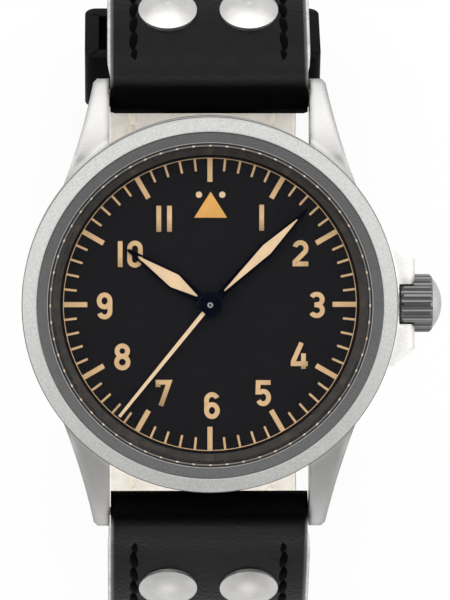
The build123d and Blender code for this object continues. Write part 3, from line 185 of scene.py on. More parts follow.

# Bead-blasted steel scatters light in all directions: pale, even, with no mirror image. Its edges are blasted
# round. The crown side with its guards is painted palest and roughest, a painted highlight for the light that
# falls on that side.
CASE_STEEL = Finish("blasted_steel_case", "#B4B3B1", 0.44, 1.0, CASE_GRIT, 0.03, 0.06,
                    # Painted highlight: the case is near white towards the crown.
                    (Zone(Measure.EAST, 17.4, 20.25, "#F6F5F3", 0.95, 0.30),), fleck=0.20, worn_edge=1.0)
# The bezel's top ring is painted darker than the slope round it, partly its own smoother finish and partly
# painted shade for the dark room it reflects. It has a bright turned lip at the crystal; the bore is painted
# dark as shade, and the corner under the rim is painted dark as the shade of the joint.
BEZEL_STEEL = Finish("blasted_steel_bezel", "#C8C8C6", 0.80, 1.0, FINE_GRIT, 0.04, 0.06,
                     # Painted shade in the bore.
                     (Zone(Measure.RADIUS, 0.0, 16.04, "#2C2C2D", 0.40),
                      Zone(Measure.RADIUS, 16.04, 16.16, "#C4C4C2", 0.40),
                      # Partly painted shade: the top ring stands for the dark room it reflects.
                      Zone(Measure.RADIUS, 16.16, 17.22, "#6B6B6C", 0.56),
                      # Painted shade in the corner under the rim.
                      Zone(Measure.RADIUS, 18.62, 19.0, "#5C5C5B", 0.50)), fleck=0.55)
# Rivets, pins and small steel parts are tumbled, which leaves soft highlights and faint hair lines.
BRIGHT_STEEL = Finish("polished_steel", "#C5C4C1", 0.40, 1.0, Grain(Relief.BRUSHED, 0.25, 0.0012),
                      0.09, 0.12)
# The crown's colour is dark, painted shade for its flutes, and its dome is painted pale, a painted highlight
# for the light from above.
CROWN_STEEL = Finish("blasted_steel_crown", "#6E6E6E", 0.34, 1.0, Grain(Relief.BLASTED, 0.20, 0.010),
                     # Painted highlight on the dome.
                     0.05, 0.08, (Zone(Measure.EAST, 22.2, 24.0, "#B4B4B2", 0.60),), fleck=0.25)
# The buckle is brushed along the strap, so its highlights are drawn out into streaks.
BUCKLE_STEEL = Finish("brushed_steel_buckle", "#C6C4C1", 0.30, 1.0, Grain(Relief.BRUSHED, 0.12, 0.004),
                      0.04, 0.08)
# Coated sapphire shows hardly any glare, only a faint edge.
SAPPHIRE = Finish("coated_sapphire", "#20242C", 0.03, alpha=0.05)
# The flange is sprayed satin grey over brushed metal, and pales where light grazes it.
FLANGE_BLACK = Finish("satin_grey_flange", "#3C3A39", 0.38, 0.0, Grain(Relief.BRUSHED, 0.06, 0.004),
                      0.10, 0.10)
# The dial is sprayed matt black: a fine dust of paint, drawn at 0.24 mm, under an even, dull sheen.
DIAL_BLACK = Finish("sprayed_black_dial", "#141213", 0.66, 0.0, Grain(Relief.BLASTED, 0.24, 0.040),
                    0.14, 0.06, fleck=0.9, gloss=0.08)
# The collar's chamfer is painted a lighter blue as a painted highlight, and catches the lamps at its sides.
BLUED_RIM = Finish("blued_steel_collar", "#34426E", 0.14, 1.0, HAIR_LINES, 0.05, 0.04,
                   (Zone(Measure.RADIUS, 0.0, 1.14, "#0C1226", 0.16),))
# Blued steel is polished and then heated: nearly black from above, deep blue where it catches light.
BLUED_STEEL = Finish("blued_steel_hands", "#0C1226", 0.16, 1.0, HAIR_LINES, 0.05, 0.04)
# Aged luminous paint is chalky and a little lumpy, and has turned the cream of old paper.
AGED_LUME = Finish("aged_luminous_paint", "#E3C49D", 0.75, 0.0, CASE_GRIT, 0.08, fleck=0.12)
# Printed through a screen, the same paint lies thinner and lets some of the black through.
PRINT_LUME = Finish("printed_luminous_paint", "#D8B384", 0.75, 0.0, FINE_GRIT, 0.10, fleck=0.20)
# The triangle's paint lies thickest, so its orange is the deepest.
TRIANGLE_LUME = Finish("deep_luminous_paint", "#DEA555", 0.72, 0.0, CASE_GRIT, 0.10, fleck=0.20)
# The seconds hand is lacquered, so it is smoother than the paint and a little shinier.
CREAM_LACQUER = Finish("cream_lacquer", "#E6C8A2", 0.45, 0.0, Grain(Relief.BLASTED, 0.15, 0.004), 0.05)
# The glare that the crystal's bevelled edge gathers from the room is painted as an opaque grey line.
CRYSTAL_GLARE = Finish("painted_crystal_glare", "#6B6764", 0.35, 0.0, SCRATCHED_GLASS, 0.20, 0.10)
# In that line a reflection of each minute bar is painted once more, smaller and greyer than the bar.
BAR_REFLECTION = Finish("painted_bar_reflection", "#C4B09C", 0.50, 0.0, SCRATCHED_GLASS, 0.20)
# Nitrile rubber is dull black with the mould's fine marks. It also fills the arbor's pit as painted shade.
RUBBER = Finish("nitrile_rubber", "#161616", 0.55, 0.0, Grain(Relief.BLASTED, 0.12, 0.006), 0.08)
# Nickel-plated brass is warm grey, with straight brushed lines that shine across the brush.
NICKEL = Finish("nickel_plated_brass", "#C9C4B8", 0.28, 1.0, Grain(Relief.BRUSHED, 0.08, 0.003), 0.04, 0.06)
# Gilt brass is yellow and finely brushed.
GILT = Finish("gilt_brass_wheels", "#D9B36A", 0.24, 1.0, Grain(Relief.BRUSHED, 0.06, 0.002), 0.05, 0.06)
# Smooth calf hide: a tight grain with a low waxy sheen. Along both shoulders it is painted pale, a painted
# highlight where the rounded edges catch the side light, and near the case, where it folds round a spring
# bar, it is painted dull black as shade.
CALF_HIDE = Finish("smooth_black_calf", "#070708", 0.34, 0.0, Grain(Relief.HIDE, 0.36, 0.045), 0.22, 0.12,
                   # Painted highlight along both shoulders.
                   (Zone(Measure.ACROSS, 9.66, 9.90, "#48484A", 0.45, 0.14),
                    Zone(Measure.ACROSS, 9.90, 10.16, "#A4A4A6", 0.45, 0.07),
                    # Painted shade near the case, with the sheen taken away too.
                    Zone(Measure.FOLD, 0.0, 18.3, "#020202", 0.60, 0.70, 0.02)), fleck=0.6, gloss=0.13)
# The loops are of the same hide, dyed through and not waxed, so they stay duller.
KEEPER_HIDE = Finish("smooth_black_calf_loop", "#040404", 0.45, 0.0, Grain(Relief.HIDE, 0.36, 0.030),
                     0.22, 0.12, fleck=0.6, gloss=0.05)
# The lining is the nap side of an undyed hide: soft, warm and pale at grazing light.
LINING_HIDE = Finish("beige_napped_lining", "#D9D3CA", 0.85, 0.0, Grain(Relief.NAPPED, 0.30, 0.035),
                     0.10, 0.05, sheen=0.25)
# Waxed black thread swallows light and shows its twist only at its crown.
WAXED_THREAD = Finish("waxed_black_thread", "#020202", 0.50, 0.0, TWIST, 0.10, gloss=0.02)
# Undyed thread is matt, with the same twist.
CREAM_THREAD = Finish("cream_thread", "#DDD3C4", 0.70, 0.0, TWIST, 0.10)
# Background paper is matt and even, so that it shows nothing but the watch's shadow.
FLOOR_PAPER = Finish("white_paper", "#F1F1F1", 0.9)

# Uneven tone comes in clouds of this size, in millimetres; their noise mostly keeps to this range.
CLOUD_SIZE = 1.6
CLOUD_LOW, CLOUD_HIGH = 0.3, 0.7
# A brushed line runs along Y. Its width is this share of its length.
BRUSH_ASPECT = 0.06
# Two measures of a mesh that differ by less than this, in millimetres, are the same.
NEAR = 0.02
RING_STEPS = 240


def relief_height(tree: bpy.types.NodeTree, grain: Grain,
                  place: bpy.types.NodeSocket) -> bpy.types.NodeSocket:
    """Adds the texture nodes of a grain.

    Args:
        tree: the material's node tree.
        grain: the relief with its real size.
        place: the coordinates, in metres.

    Returns:
        The height, from about 0 to 1.
    """
    scale = 1 / (grain.size * MM)
    if grain.relief is Relief.BRUSHED:
        lines = add_node(tree, "ShaderNodeMapping", {"Vector": place, "Scale": (1.0, BRUSH_ASPECT, 1.0)})
        return add_node(tree, "ShaderNodeTexNoise", {
            "Vector": lines.outputs[0], "Scale": scale, "Detail": 3.0}).outputs[0]
    if grain.relief is Relief.HIDE:
        cells = add_node(tree, "ShaderNodeTexVoronoi", {"Vector": place, "Scale": scale},
                         feature="SMOOTH_F1")
        folds = add_node(tree, "ShaderNodeTexNoise", {
            "Vector": place, "Scale": scale / 5, "Detail": 4.0, "Roughness": 0.6})
        return add_node(tree, "ShaderNodeMath", {0: folds.outputs[0], 1: 0.9, 2: cells.outputs["Distance"]},
                        operation="MULTIPLY_ADD").outputs[0]
    detail = 5.0 if grain.relief is Relief.NAPPED else 2.0
    return add_node(tree, "ShaderNodeTexNoise", {
        "Vector": place, "Scale": scale, "Detail": detail, "Roughness": 0.65}).outputs[0]


@lru_cache(maxsize=None)
def material(finish: Finish) -> bpy.types.Material:
    """Makes a finish's material, once.

    Args:
        finish: what the surface is made of.

    Returns:
        The node material.
    """
    made = bpy.data.materials.new(finish.name)
    made.use_nodes = True
    tree = made.node_tree
    tree.nodes.clear()
    place = add_node(tree, "ShaderNodeTexCoord").outputs["Object"]
    shader = add_node(tree, "ShaderNodeBsdfPrincipled", {
        "Base Color": linear(finish.colour), "Roughness": finish.roughness, "Metallic": finish.metallic,
        "Alpha": finish.alpha, "Sheen Weight": finish.sheen, "Specular IOR Level": finish.gloss})
    height = relief_height(tree, finish.grain, place) if finish.grain else None
    if finish.mottle:
        clouds = add_node(tree, "ShaderNodeTexNoise", {
            "Vector": place, "Scale": 1 / (CLOUD_SIZE * MM), "Detail": 5.0, "Roughness": 0.6})
        tone = add_node(tree, "ShaderNodeMapRange", {
            "Value": clouds.outputs[0], "From Min": CLOUD_LOW, "From Max": CLOUD_HIGH,
            "To Min": 1 - finish.mottle - finish.fleck / 2,
            "To Max": 1 + finish.mottle - finish.fleck / 2}).outputs[0]
        if finish.fleck:
            tone = add_node(tree, "ShaderNodeMath", {0: height, 1: finish.fleck, 2: tone},
                            operation="MULTIPLY_ADD").outputs[0]
        gloss = add_node(tree, "ShaderNodeMapRange", {
            "Value": clouds.outputs[0], "From Min": CLOUD_LOW, "From Max": CLOUD_HIGH,
            "To Min": finish.roughness - finish.rough_spread / 2,
            "To Max": finish.roughness + finish.rough_spread / 2}).outputs[0]
        base = add_node(tree, "ShaderNodeHueSaturation", {"Color": linear(finish.colour), "Value": tone})
        if finish.zones:
            base.inputs["Color"].default_value = (1.0, 1.0, 1.0, 1.0)
            colour, gloss, shine = zone_inputs(tree, finish, place, gloss)
            tree.links.new(colour, base.inputs["Color"])
            tree.links.new(shine, shader.inputs["Specular IOR Level"])
        tree.links.new(base.outputs[0], shader.inputs["Base Color"])
        tree.links.new(gloss, shader.inputs["Roughness"])
    if finish.grain:
        bump = add_node(tree, "ShaderNodeBump", {
            "Height": height, "Distance": finish.grain.depth * MM, "Strength": 1.0})
        if finish.worn_edge:
            worn = add_node(tree, "ShaderNodeBevel", {"Radius": finish.worn_edge * MM}, samples=8)
            tree.links.new(worn.outputs[0], bump.inputs["Normal"])
        tree.links.new(bump.outputs[0], shader.inputs["Normal"])
    add_node(tree, "ShaderNodeOutputMaterial", {"Surface": shader.outputs[0]})
    return made


def zone_inputs(tree: bpy.types.NodeTree, finish: Finish, place: bpy.types.NodeSocket,
                gloss: bpy.types.NodeSocket) -> tuple[bpy.types.NodeSocket, ...]:
    """Adds the nodes that change colour, roughness and gloss in a finish's zones.

    Args:
        tree: the material's node tree.
        finish: the finish, which has zones.
        place: the coordinates, in metres.
        gloss: the roughness outside the zones.

    Returns:
        The colour, the roughness and the gloss.
    """
    axes = add_node(tree, "ShaderNodeSeparateXYZ", {0: place})
    flat = add_node(tree, "ShaderNodeCombineXYZ", {"X": axes.outputs["X"], "Y": axes.outputs["Y"]})
    radius = add_node(tree, "ShaderNodeVectorMath", {0: flat.outputs[0]}, operation="LENGTH")
    across = add_node(tree, "ShaderNodeMath", {0: axes.outputs["X"]}, operation="ABSOLUTE")
    along = add_node(tree, "ShaderNodeMath", {0: axes.outputs["Y"]}, operation="ABSOLUTE")
    fold = add_node(tree, "ShaderNodeMath", {0: along.outputs[0], 1: axes.outputs["Z"]}, operation="SUBTRACT")
    measures = {Measure.RADIUS: radius.outputs["Value"], Measure.EAST: axes.outputs["X"],
                Measure.ACROSS: across.outputs[0], Measure.FOLD: fold.outputs[0]}
    colour: Any = linear(finish.colour)
    shine: Any = finish.gloss
    for zone in finish.zones:
        past_start, before_end = (add_node(tree, "ShaderNodeMapRange", {
            "Value": measures[zone.measure],
            "From Min": (edge - zone.soft) * MM, "From Max": (edge + zone.soft) * MM,
            "To Min": outside, "To Max": 1 - outside}).outputs[0]
            for edge, outside in ((zone.start, 0.0), (zone.end, 1.0)))
        inside = add_node(tree, "ShaderNodeMath", {0: past_start, 1: before_end},
                          operation="MULTIPLY").outputs[0]
        colour = add_node(tree, "ShaderNodeMix", {"Factor": inside, "A": colour, "B": linear(zone.colour)},
                          data_type="RGBA").outputs["Result"]
        gloss, shine = (add_node(tree, "ShaderNodeMix", {"Factor": inside, "A": before, "B": after},
                                 data_type="FLOAT").outputs["Result"]
                        for before, after in ((gloss, zone.roughness), (shine, zone.gloss)))
    return colour, gloss, shine


@dataclass(frozen=True)
class Run:
    """One straight or arc of a strap's centre line. An arc has a radius and a turn in degrees."""

    length: float = 0.0
    radius: float = 0.0
    turn: float = 0.0

    @property
    def span(self) -> float:
        """Length along the centre line."""
        return self.length or self.radius * math.radians(self.turn)


@dataclass(frozen=True)
class StrapPath:
    """Centre line of a strap half in the YZ plane, from its spring bar. All arcs turn towards the wrist."""

    runs: tuple[Run, ...]
    start: Point = (21.0, 1.9)
    heading: float = -28.0
    mirrored: bool = False

    @property
    def length(self) -> float:
        """Length of the whole centre line."""
        return sum(run.span for run in self.runs)

    def at(self, distance: float) -> tuple[float, float, float]:
        """Finds a point of the centre line.

        Args:
            distance: how far along it, in millimetres; the ends run on straight.

        Returns:
            Y, Z and the heading in radians, before the mirror.
        """
        y, z = self.start
        heading = math.radians(self.heading)
        left = distance
        for number, run in enumerate(self.runs):
            last = number == len(self.runs) - 1
            part = left if left < run.span or last else run.span
            if run.length or left < 0 or (last and left > run.span):
                y, z = y + part * math.cos(heading), z + part * math.sin(heading)
            else:
                middle_y, middle_z = y + run.radius * math.sin(heading), z - run.radius * math.cos(heading)
                heading -= part / run.radius
                y, z = middle_y - run.radius * math.sin(heading), middle_z + run.radius * math.cos(heading)
            left -= part
            if left <= 0:
                break
        return y, z, heading

    def place(self, x: float, distance: float, height: float) -> Vector:
        """Bends a point of the flat strap to its place on the loop.

        Args:
            x: across the strap.
            distance: along the strap from the spring bar.
            height: above the centre line, outwards.

        Returns:
            The point, in metres.
        """
        y, z, heading = self.at(distance)
        y, z = y - height * math.sin(heading), z + height * math.cos(heading)
        return Vector((x, -y if self.mirrored else y, z)) * MM

    def bend(self, mesh: bmesh.types.BMesh) -> None:
        """Bends a flat mesh, with X across, Y along and Z outwards in millimetres, round the loop."""
        for vertex in mesh.verts:
            vertex.co = self.place(*vertex.co)
        if self.mirrored:
            bmesh.ops.reverse_faces(mesh, faces=mesh.faces)


SIDE = Run(radius=24.6, turn=122.0)
CORNER = Run(radius=23.502, turn=30.0)
# The long half drops below the short one by the lap, runs under it and follows it to its own tip.
LAP = 3.0
SHORT_BASE = Run(length=10.0)
LONG_BASE = Run(length=8.804)
TIP = Run(length=7.5)
SHORT_PATH = StrapPath((SIDE, CORNER, SHORT_BASE))
LONG_CORNER = Run(radius=CORNER.radius + LAP / (1 - math.cos(math.radians(CORNER.turn))), turn=CORNER.turn)
LONG_PATH = StrapPath((SIDE, LONG_CORNER, LONG_BASE, Run(radius=CORNER.radius + LAP, turn=CORNER.turn),
                       Run(radius=SIDE.radius + LAP, turn=30.0), TIP), mirrored=True)


def finish_object(mesh: bmesh.types.BMesh, name: str, finish: Finish,
                  smooth: float = 40.0) -> bpy.types.Object:
    """Turns a mesh, already in its place in metres, into an object with its finish.

    Args:
        mesh: the mesh, which is freed.
        name: the piece's name.
        finish: its material.
        smooth: the sharpest edge, in degrees, that is shaded smooth.

    Returns:
        The new object.
    """
    data = bpy.data.meshes.new(name)
    for face in mesh.faces:
        face.smooth = True
    limit = math.radians(smooth)
    for edge in mesh.edges:
        edge.smooth = edge.is_manifold and edge.calc_face_angle(0.0) < limit
    mesh.to_mesh(data)
    mesh.free()
    made = bpy.data.objects.new(name, data)
    bpy.context.scene.collection.objects.link(made)
    data.materials.append(material(finish))
    return made


def apply_modifiers(piece: bpy.types.Object) -> None:
    """Puts a piece's modifiers into its mesh."""
    graph = bpy.context.evaluated_depsgraph_get()
    graph.update()
    data = bpy.data.meshes.new_from_object(piece.evaluated_get(graph))
    piece.modifiers.clear()
    piece.data = data


def cut(piece: bpy.types.Object, tools: Sequence[bpy.types.Object]) -> None:
    """Cuts tools out of a piece and removes them."""
    for tool in tools:
        modifier = piece.modifiers.new("cut", "BOOLEAN")
        modifier.operation = "DIFFERENCE"
        modifier.solver = "EXACT"
        modifier.object = tool
        apply_modifiers(piece)
        bpy.data.objects.remove(tool)


def scaled(mesh: bmesh.types.BMesh, factor: float = MM) -> None:
    """Scales a mesh, from millimetres to metres as a rule."""
    bmesh.ops.scale(mesh, vec=(factor,) * 3, verts=mesh.verts)


def slab(low: Sequence[float], high: Sequence[float], step: float,
         columns: Iterable[float] = ()) -> bmesh.types.BMesh:
    """Makes a flat bar that is cut across every few millimetres so that it can bend.

    Args:
        low: its lowest corner.
        high: its highest corner.
        step: the distance between two rows along Y.
        columns: further cuts along the bar, at these X.

    Returns:
        The mesh, in millimetres.
    """
    mesh = bmesh.new()
    bmesh.ops.create_cube(mesh, size=1.0)
    size = [b - a for a, b in zip(low, high)]
    middle = [(a + b) / 2 for a, b in zip(low, high)]
    bmesh.ops.scale(mesh, vec=size, verts=mesh.verts)
    bmesh.ops.translate(mesh, vec=middle, verts=mesh.verts)
    rows = max(1, round(size[1] / step))
    cuts = [((0, low[1] + size[1] * i / rows, 0), (0, 1, 0)) for i in range(1, rows)]
    cuts += [((x, 0, 0), (1, 0, 0)) for x in columns]
    for point, normal in cuts:
        bmesh.ops.bisect_plane(mesh, geom=[*mesh.verts, *mesh.edges, *mesh.faces], plane_co=point,
                               plane_no=normal)
    return mesh


def round_edges(mesh: bmesh.types.BMesh, chosen: Callable[[bmesh.types.BMEdge], bool], radius: float,
                segments: int = 3) -> None:
    """Rounds the edges that a test picks.

    Args:
        mesh: the mesh.
        chosen: says whether an edge is rounded.
        radius: the round's size, in the mesh's unit.
        segments: faces across the round.
    """
    edges = [edge for edge in mesh.edges if edge.calc_face_angle(0.0) > 0.5 and chosen(edge)]
    bmesh.ops.bevel(mesh, geom=edges, offset=radius, offset_type="OFFSET", segments=segments, profile=0.5,
                    affect="EDGES", clamp_overlap=True, material=-1)


@dataclass(frozen=True)
class DialPrint:
    """Luminous print on the dial: minute track, hour bars, numerals and the triangle at 12."""

    thick: float = 0.05
    sunk: float = 0.005
    hair: float = 0.002
    track_r: float = 14.6
    track_w: float = 0.07
    minute_size: Point = (0.22, 1.28)
    hour_size: Point = (0.50, 2.40)
    stroke: float = 0.47
    figure_h: float = 2.58
    figures: tuple[Point, ...] = ((5.14, 8.63), (9.00, 5.09), (10.62, -0.05), (8.86, -5.14), (5.30, -8.84),
                                  (0.20, -10.08), (-4.61, -8.80), (-8.72, -5.20), (-10.48, -0.13),
                                  (-7.87, 5.02), (-4.55, 8.53))
    triangle: tuple[float, float, float] = (3.26, 8.64, 11.22)
    dot: tuple[float, float, float] = (1.16, 10.92, 0.32)
    twelve_x: float = 0.07

    def build(self) -> None:
        """Builds all print on the dial."""
        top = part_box("dial")[1].z / MM
        pieces = [(self.track(top), "minute_track", PRINT_LUME), (self.bars(top), "hour_bars", PRINT_LUME),
                  (self.twelve(top), "twelve_triangle", TRIANGLE_LUME),
                  (self.dots(top), "twelve_dots", AGED_LUME)]
        for mesh, name, finish in pieces:
            scaled(mesh)
            piece = finish_object(mesh, name, finish)
            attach(piece, "case")
        self.numerals(top)

    def bar(self, mesh: bmesh.types.BMesh, size: Point, minute: int, top: float) -> None:
        """Adds one bar of the track, pointing inwards from the thin circle.

        Args:
            mesh: the mesh that gets the bar.
            size: its width and length.
            minute: where it stands.
            top: the dial's height.
        """
        made = bmesh.ops.create_cube(mesh, size=1.0)["verts"]
        bmesh.ops.scale(mesh, vec=(size[0], size[1], self.thick), verts=made)
        outwards = self.track_r - size[1] / 2
        bmesh.ops.translate(mesh, vec=(0, outwards, top + self.thick / 2 - self.sunk), verts=made)
        turn = Matrix.Rotation(-minute * FULL_TURN / 60, 3, "Z")
        bmesh.ops.rotate(mesh, cent=(0, 0, 0), matrix=turn, verts=made)

    def track(self, top: float) -> bmesh.types.BMesh:
        """Builds the thin circle and the minute bars."""
        mesh = bmesh.new()
        low, high = top - self.sunk, top + self.thick * 0.6
        corners = [(self.track_r - self.track_w, low), (self.track_r, low), (self.track_r, high),
                   (self.track_r - self.track_w, high)]
        turn_section(mesh, corners, RING_STEPS)
        for minute in range(60):
            if minute % 5:
                self.bar(mesh, self.minute_size, minute, top)
        return mesh

    def bars(self, top: float) -> bmesh.types.BMesh:
        """Builds the twelve hour bars."""
        mesh = bmesh.new()
        for minute in range(0, 60, 5):
            self.bar(mesh, self.hour_size, minute, top)
        return mesh

    def twelve(self, top: float) -> bmesh.types.BMesh:
        """Builds the triangle at 12."""
        width, base, tip = self.triangle
        mesh = bmesh.new()
        corners = [mesh.verts.new((self.twelve_x + x, y, top - self.sunk))
                   for x, y in ((-width / 2, base), (width / 2, base), (0, tip))]
        raise_outline(mesh, corners, self.thick)
        return mesh

    def dots(self, top: float) -> bmesh.types.BMesh:
        """Builds the two dots beside the triangle."""
        x, y, radius = self.dot
        mesh = bmesh.new()
        for side in (-x, x):
            place = Matrix.Translation((self.twelve_x + side, y, top + self.thick / 2 - self.sunk))
            bmesh.ops.create_cone(mesh, cap_ends=True, segments=32, radius1=radius, radius2=radius * 0.92,
                                  depth=self.thick, matrix=place)
        return mesh

    def numerals(self, top: float) -> None:
        """Builds the numerals 1 to 11, each upright at its hour."""
        for hour, (x, y) in enumerate(self.figures, start=1):
            mesh = bmesh.new()
            for level, (outline, closed) in enumerate(FIGURES[str(hour)]):
                self.brush(mesh, outline, closed, level)
            bmesh.ops.translate(mesh, vec=(x, y, top - self.sunk), verts=mesh.verts)
            scaled(mesh)
            piece = finish_object(mesh, f"numeral_{hour}", PRINT_LUME)
            wall = piece.modifiers.new("stroke", "SOLIDIFY")
            wall.thickness = self.stroke * MM
            wall.offset = 0.0
            wall.use_even_offset = True
            apply_modifiers(piece)
            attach(piece, "case")

    def brush(self, mesh: bmesh.types.BMesh, outline: Sequence[Point], closed: bool, level: int) -> None:
        """Adds the upright wall along one stroke; it gets the stroke's width later.

        Args:
            mesh: the mesh that gets the wall.
            outline: the stroke's middle line.
            closed: whether it is a loop.
            level: each further stroke is a hair thinner, so that no two faces lie in one plane.
        """
        corners = [mesh.verts.new((x, y, 0.0)) for x, y in outline]
        pairs = list(zip(corners, corners[1:]))
        if closed:
            pairs.append((corners[-1], corners[0]))
        edges = [mesh.edges.new(pair) for pair in pairs]
        grown = bmesh.ops.extrude_edge_only(mesh, edges=edges)["geom"]
        tops = [item for item in grown if isinstance(item, bmesh.types.BMVert)]
        bmesh.ops.translate(mesh, vec=(0, 0, self.thick - self.hair * level), verts=tops)


def arc(x: float, y: float, wide: float, high: float, start: float, end: float) -> list[Point]:
    """Lists points of an arc, as a pen draws it.

    Args:
        x: centre, across.
        y: centre, up.
        wide: half width.
        high: half height.
        start: first angle in degrees.
        end: last angle in degrees.

    Returns:
        A point about every nine degrees.
    """
    count = max(2, round(abs(end - start) / 9))
    angles = [math.radians(start + (end - start) * i / count) for i in range(count + 1)]
    return [(x + wide * math.cos(a), y + high * math.sin(a)) for a in angles]


def figure_strokes() -> dict[str, list[tuple[list[Point], bool]]]:
    """Draws the numerals in plain monoline strokes, as a drawing office letters them.

    Returns:
        For each numeral its strokes in millimetres, each with whether it is a loop.
    """
    tall = 1.29
    bar = [(0.0, -tall), (0.0, tall)]
    zero = arc(0, 0.57, 0.53, 0.53, 0, 180) + arc(0, -0.57, 0.53, 0.53, 180, 360)
    bowl = arc(0, -0.50, 0.54, 0.60, 0, 351)
    stem = [(-0.54, -0.50)] + arc(0, 0.53, 0.54, 0.57, 180, 22)

    def moved(line: list[Point], dx: float) -> list[Point]:
        return [(x + dx, y) for x, y in line]

    def turned(line: list[Point]) -> list[Point]:
        return [(-x, -y) for x, y in line]

    return {
        "1": [(bar, False)],
        "2": [(arc(0, 0.48, 0.56, 0.58, 165, -38) + [(-0.54, -0.86), (-0.54, -1.055), (0.79, -1.055)],
               False)],
        "3": [(arc(0, 0.54, 0.555, 0.52, 152, -90) + [(-0.22, 0.02)], False),
              ([(-0.22, 0.01)] + arc(0, -0.54, 0.575, 0.53, 90, -152), False)],
        "4": [([(0.26, 1.32), (-0.57, -0.56), (-0.57, -0.77), (0.88, -0.77)], False),
              ([(0.45, 0.25), (0.45, -tall)], False)],
        "5": [([(0.74, 1.055), (-0.50, 1.055), (-0.53, 0.10)] + arc(0, -0.44, 0.54, 0.62, 120, -150), False)],
        "6": [(bowl, True), (stem, False)],
        "7": [([(-0.56, 0.58), (-0.56, 1.055), (0.55, 1.055), (-0.28, -tall)], False)],
        "8": [(arc(0, 0.57, 0.52, 0.52, 0, 351), True), (arc(0, -0.54, 0.57, 0.57, 0, 351), True)],
        "9": [(turned(bowl), True), (turned(stem), False)],
        "10": [(moved(bar, -1.05), False), (moved(zero, 0.42), True)],
        "11": [(moved(bar, -0.53), False), (moved(bar, 0.53), False)],
    }


FIGURES = figure_strokes()


def turn_section(mesh: bmesh.types.BMesh, corners: Sequence[Point], steps: int) -> None:
    """Turns a closed section of (radius, height) points about the dial's axis.

    Args:
        mesh: the mesh that gets the ring.
        corners: the section.
        steps: faces round the ring.
    """
    section = [mesh.verts.new((r, 0, z)) for r, z in corners]
    edges = [mesh.edges.new((section[i - 1], section[i])) for i in range(len(section))]
    bmesh.ops.spin(mesh, geom=[*section, *edges], cent=(0, 0, 0), axis=(0, 0, 1), angle=FULL_TURN,
                   steps=steps, use_merge=True, use_duplicate=False)
    bmesh.ops.remove_doubles(mesh, verts=mesh.verts, dist=1e-5)
    bmesh.ops.recalc_face_normals(mesh, faces=mesh.faces)


def raise_outline(mesh: bmesh.types.BMesh, corners: Sequence[bmesh.types.BMVert], height: float) -> None:
    """Makes a solid of an outline: its face and the same face higher up, with the walls between."""
    base = mesh.faces.new(corners)
    grown = bmesh.ops.extrude_face_region(mesh, geom=[base], use_keep_orig=True)["geom"]
    tops = [item for item in grown if isinstance(item, bmesh.types.BMVert)]
    bmesh.ops.translate(mesh, vec=(0, 0, height), verts=tops)
    bmesh.ops.recalc_face_normals(mesh, faces=mesh.faces)


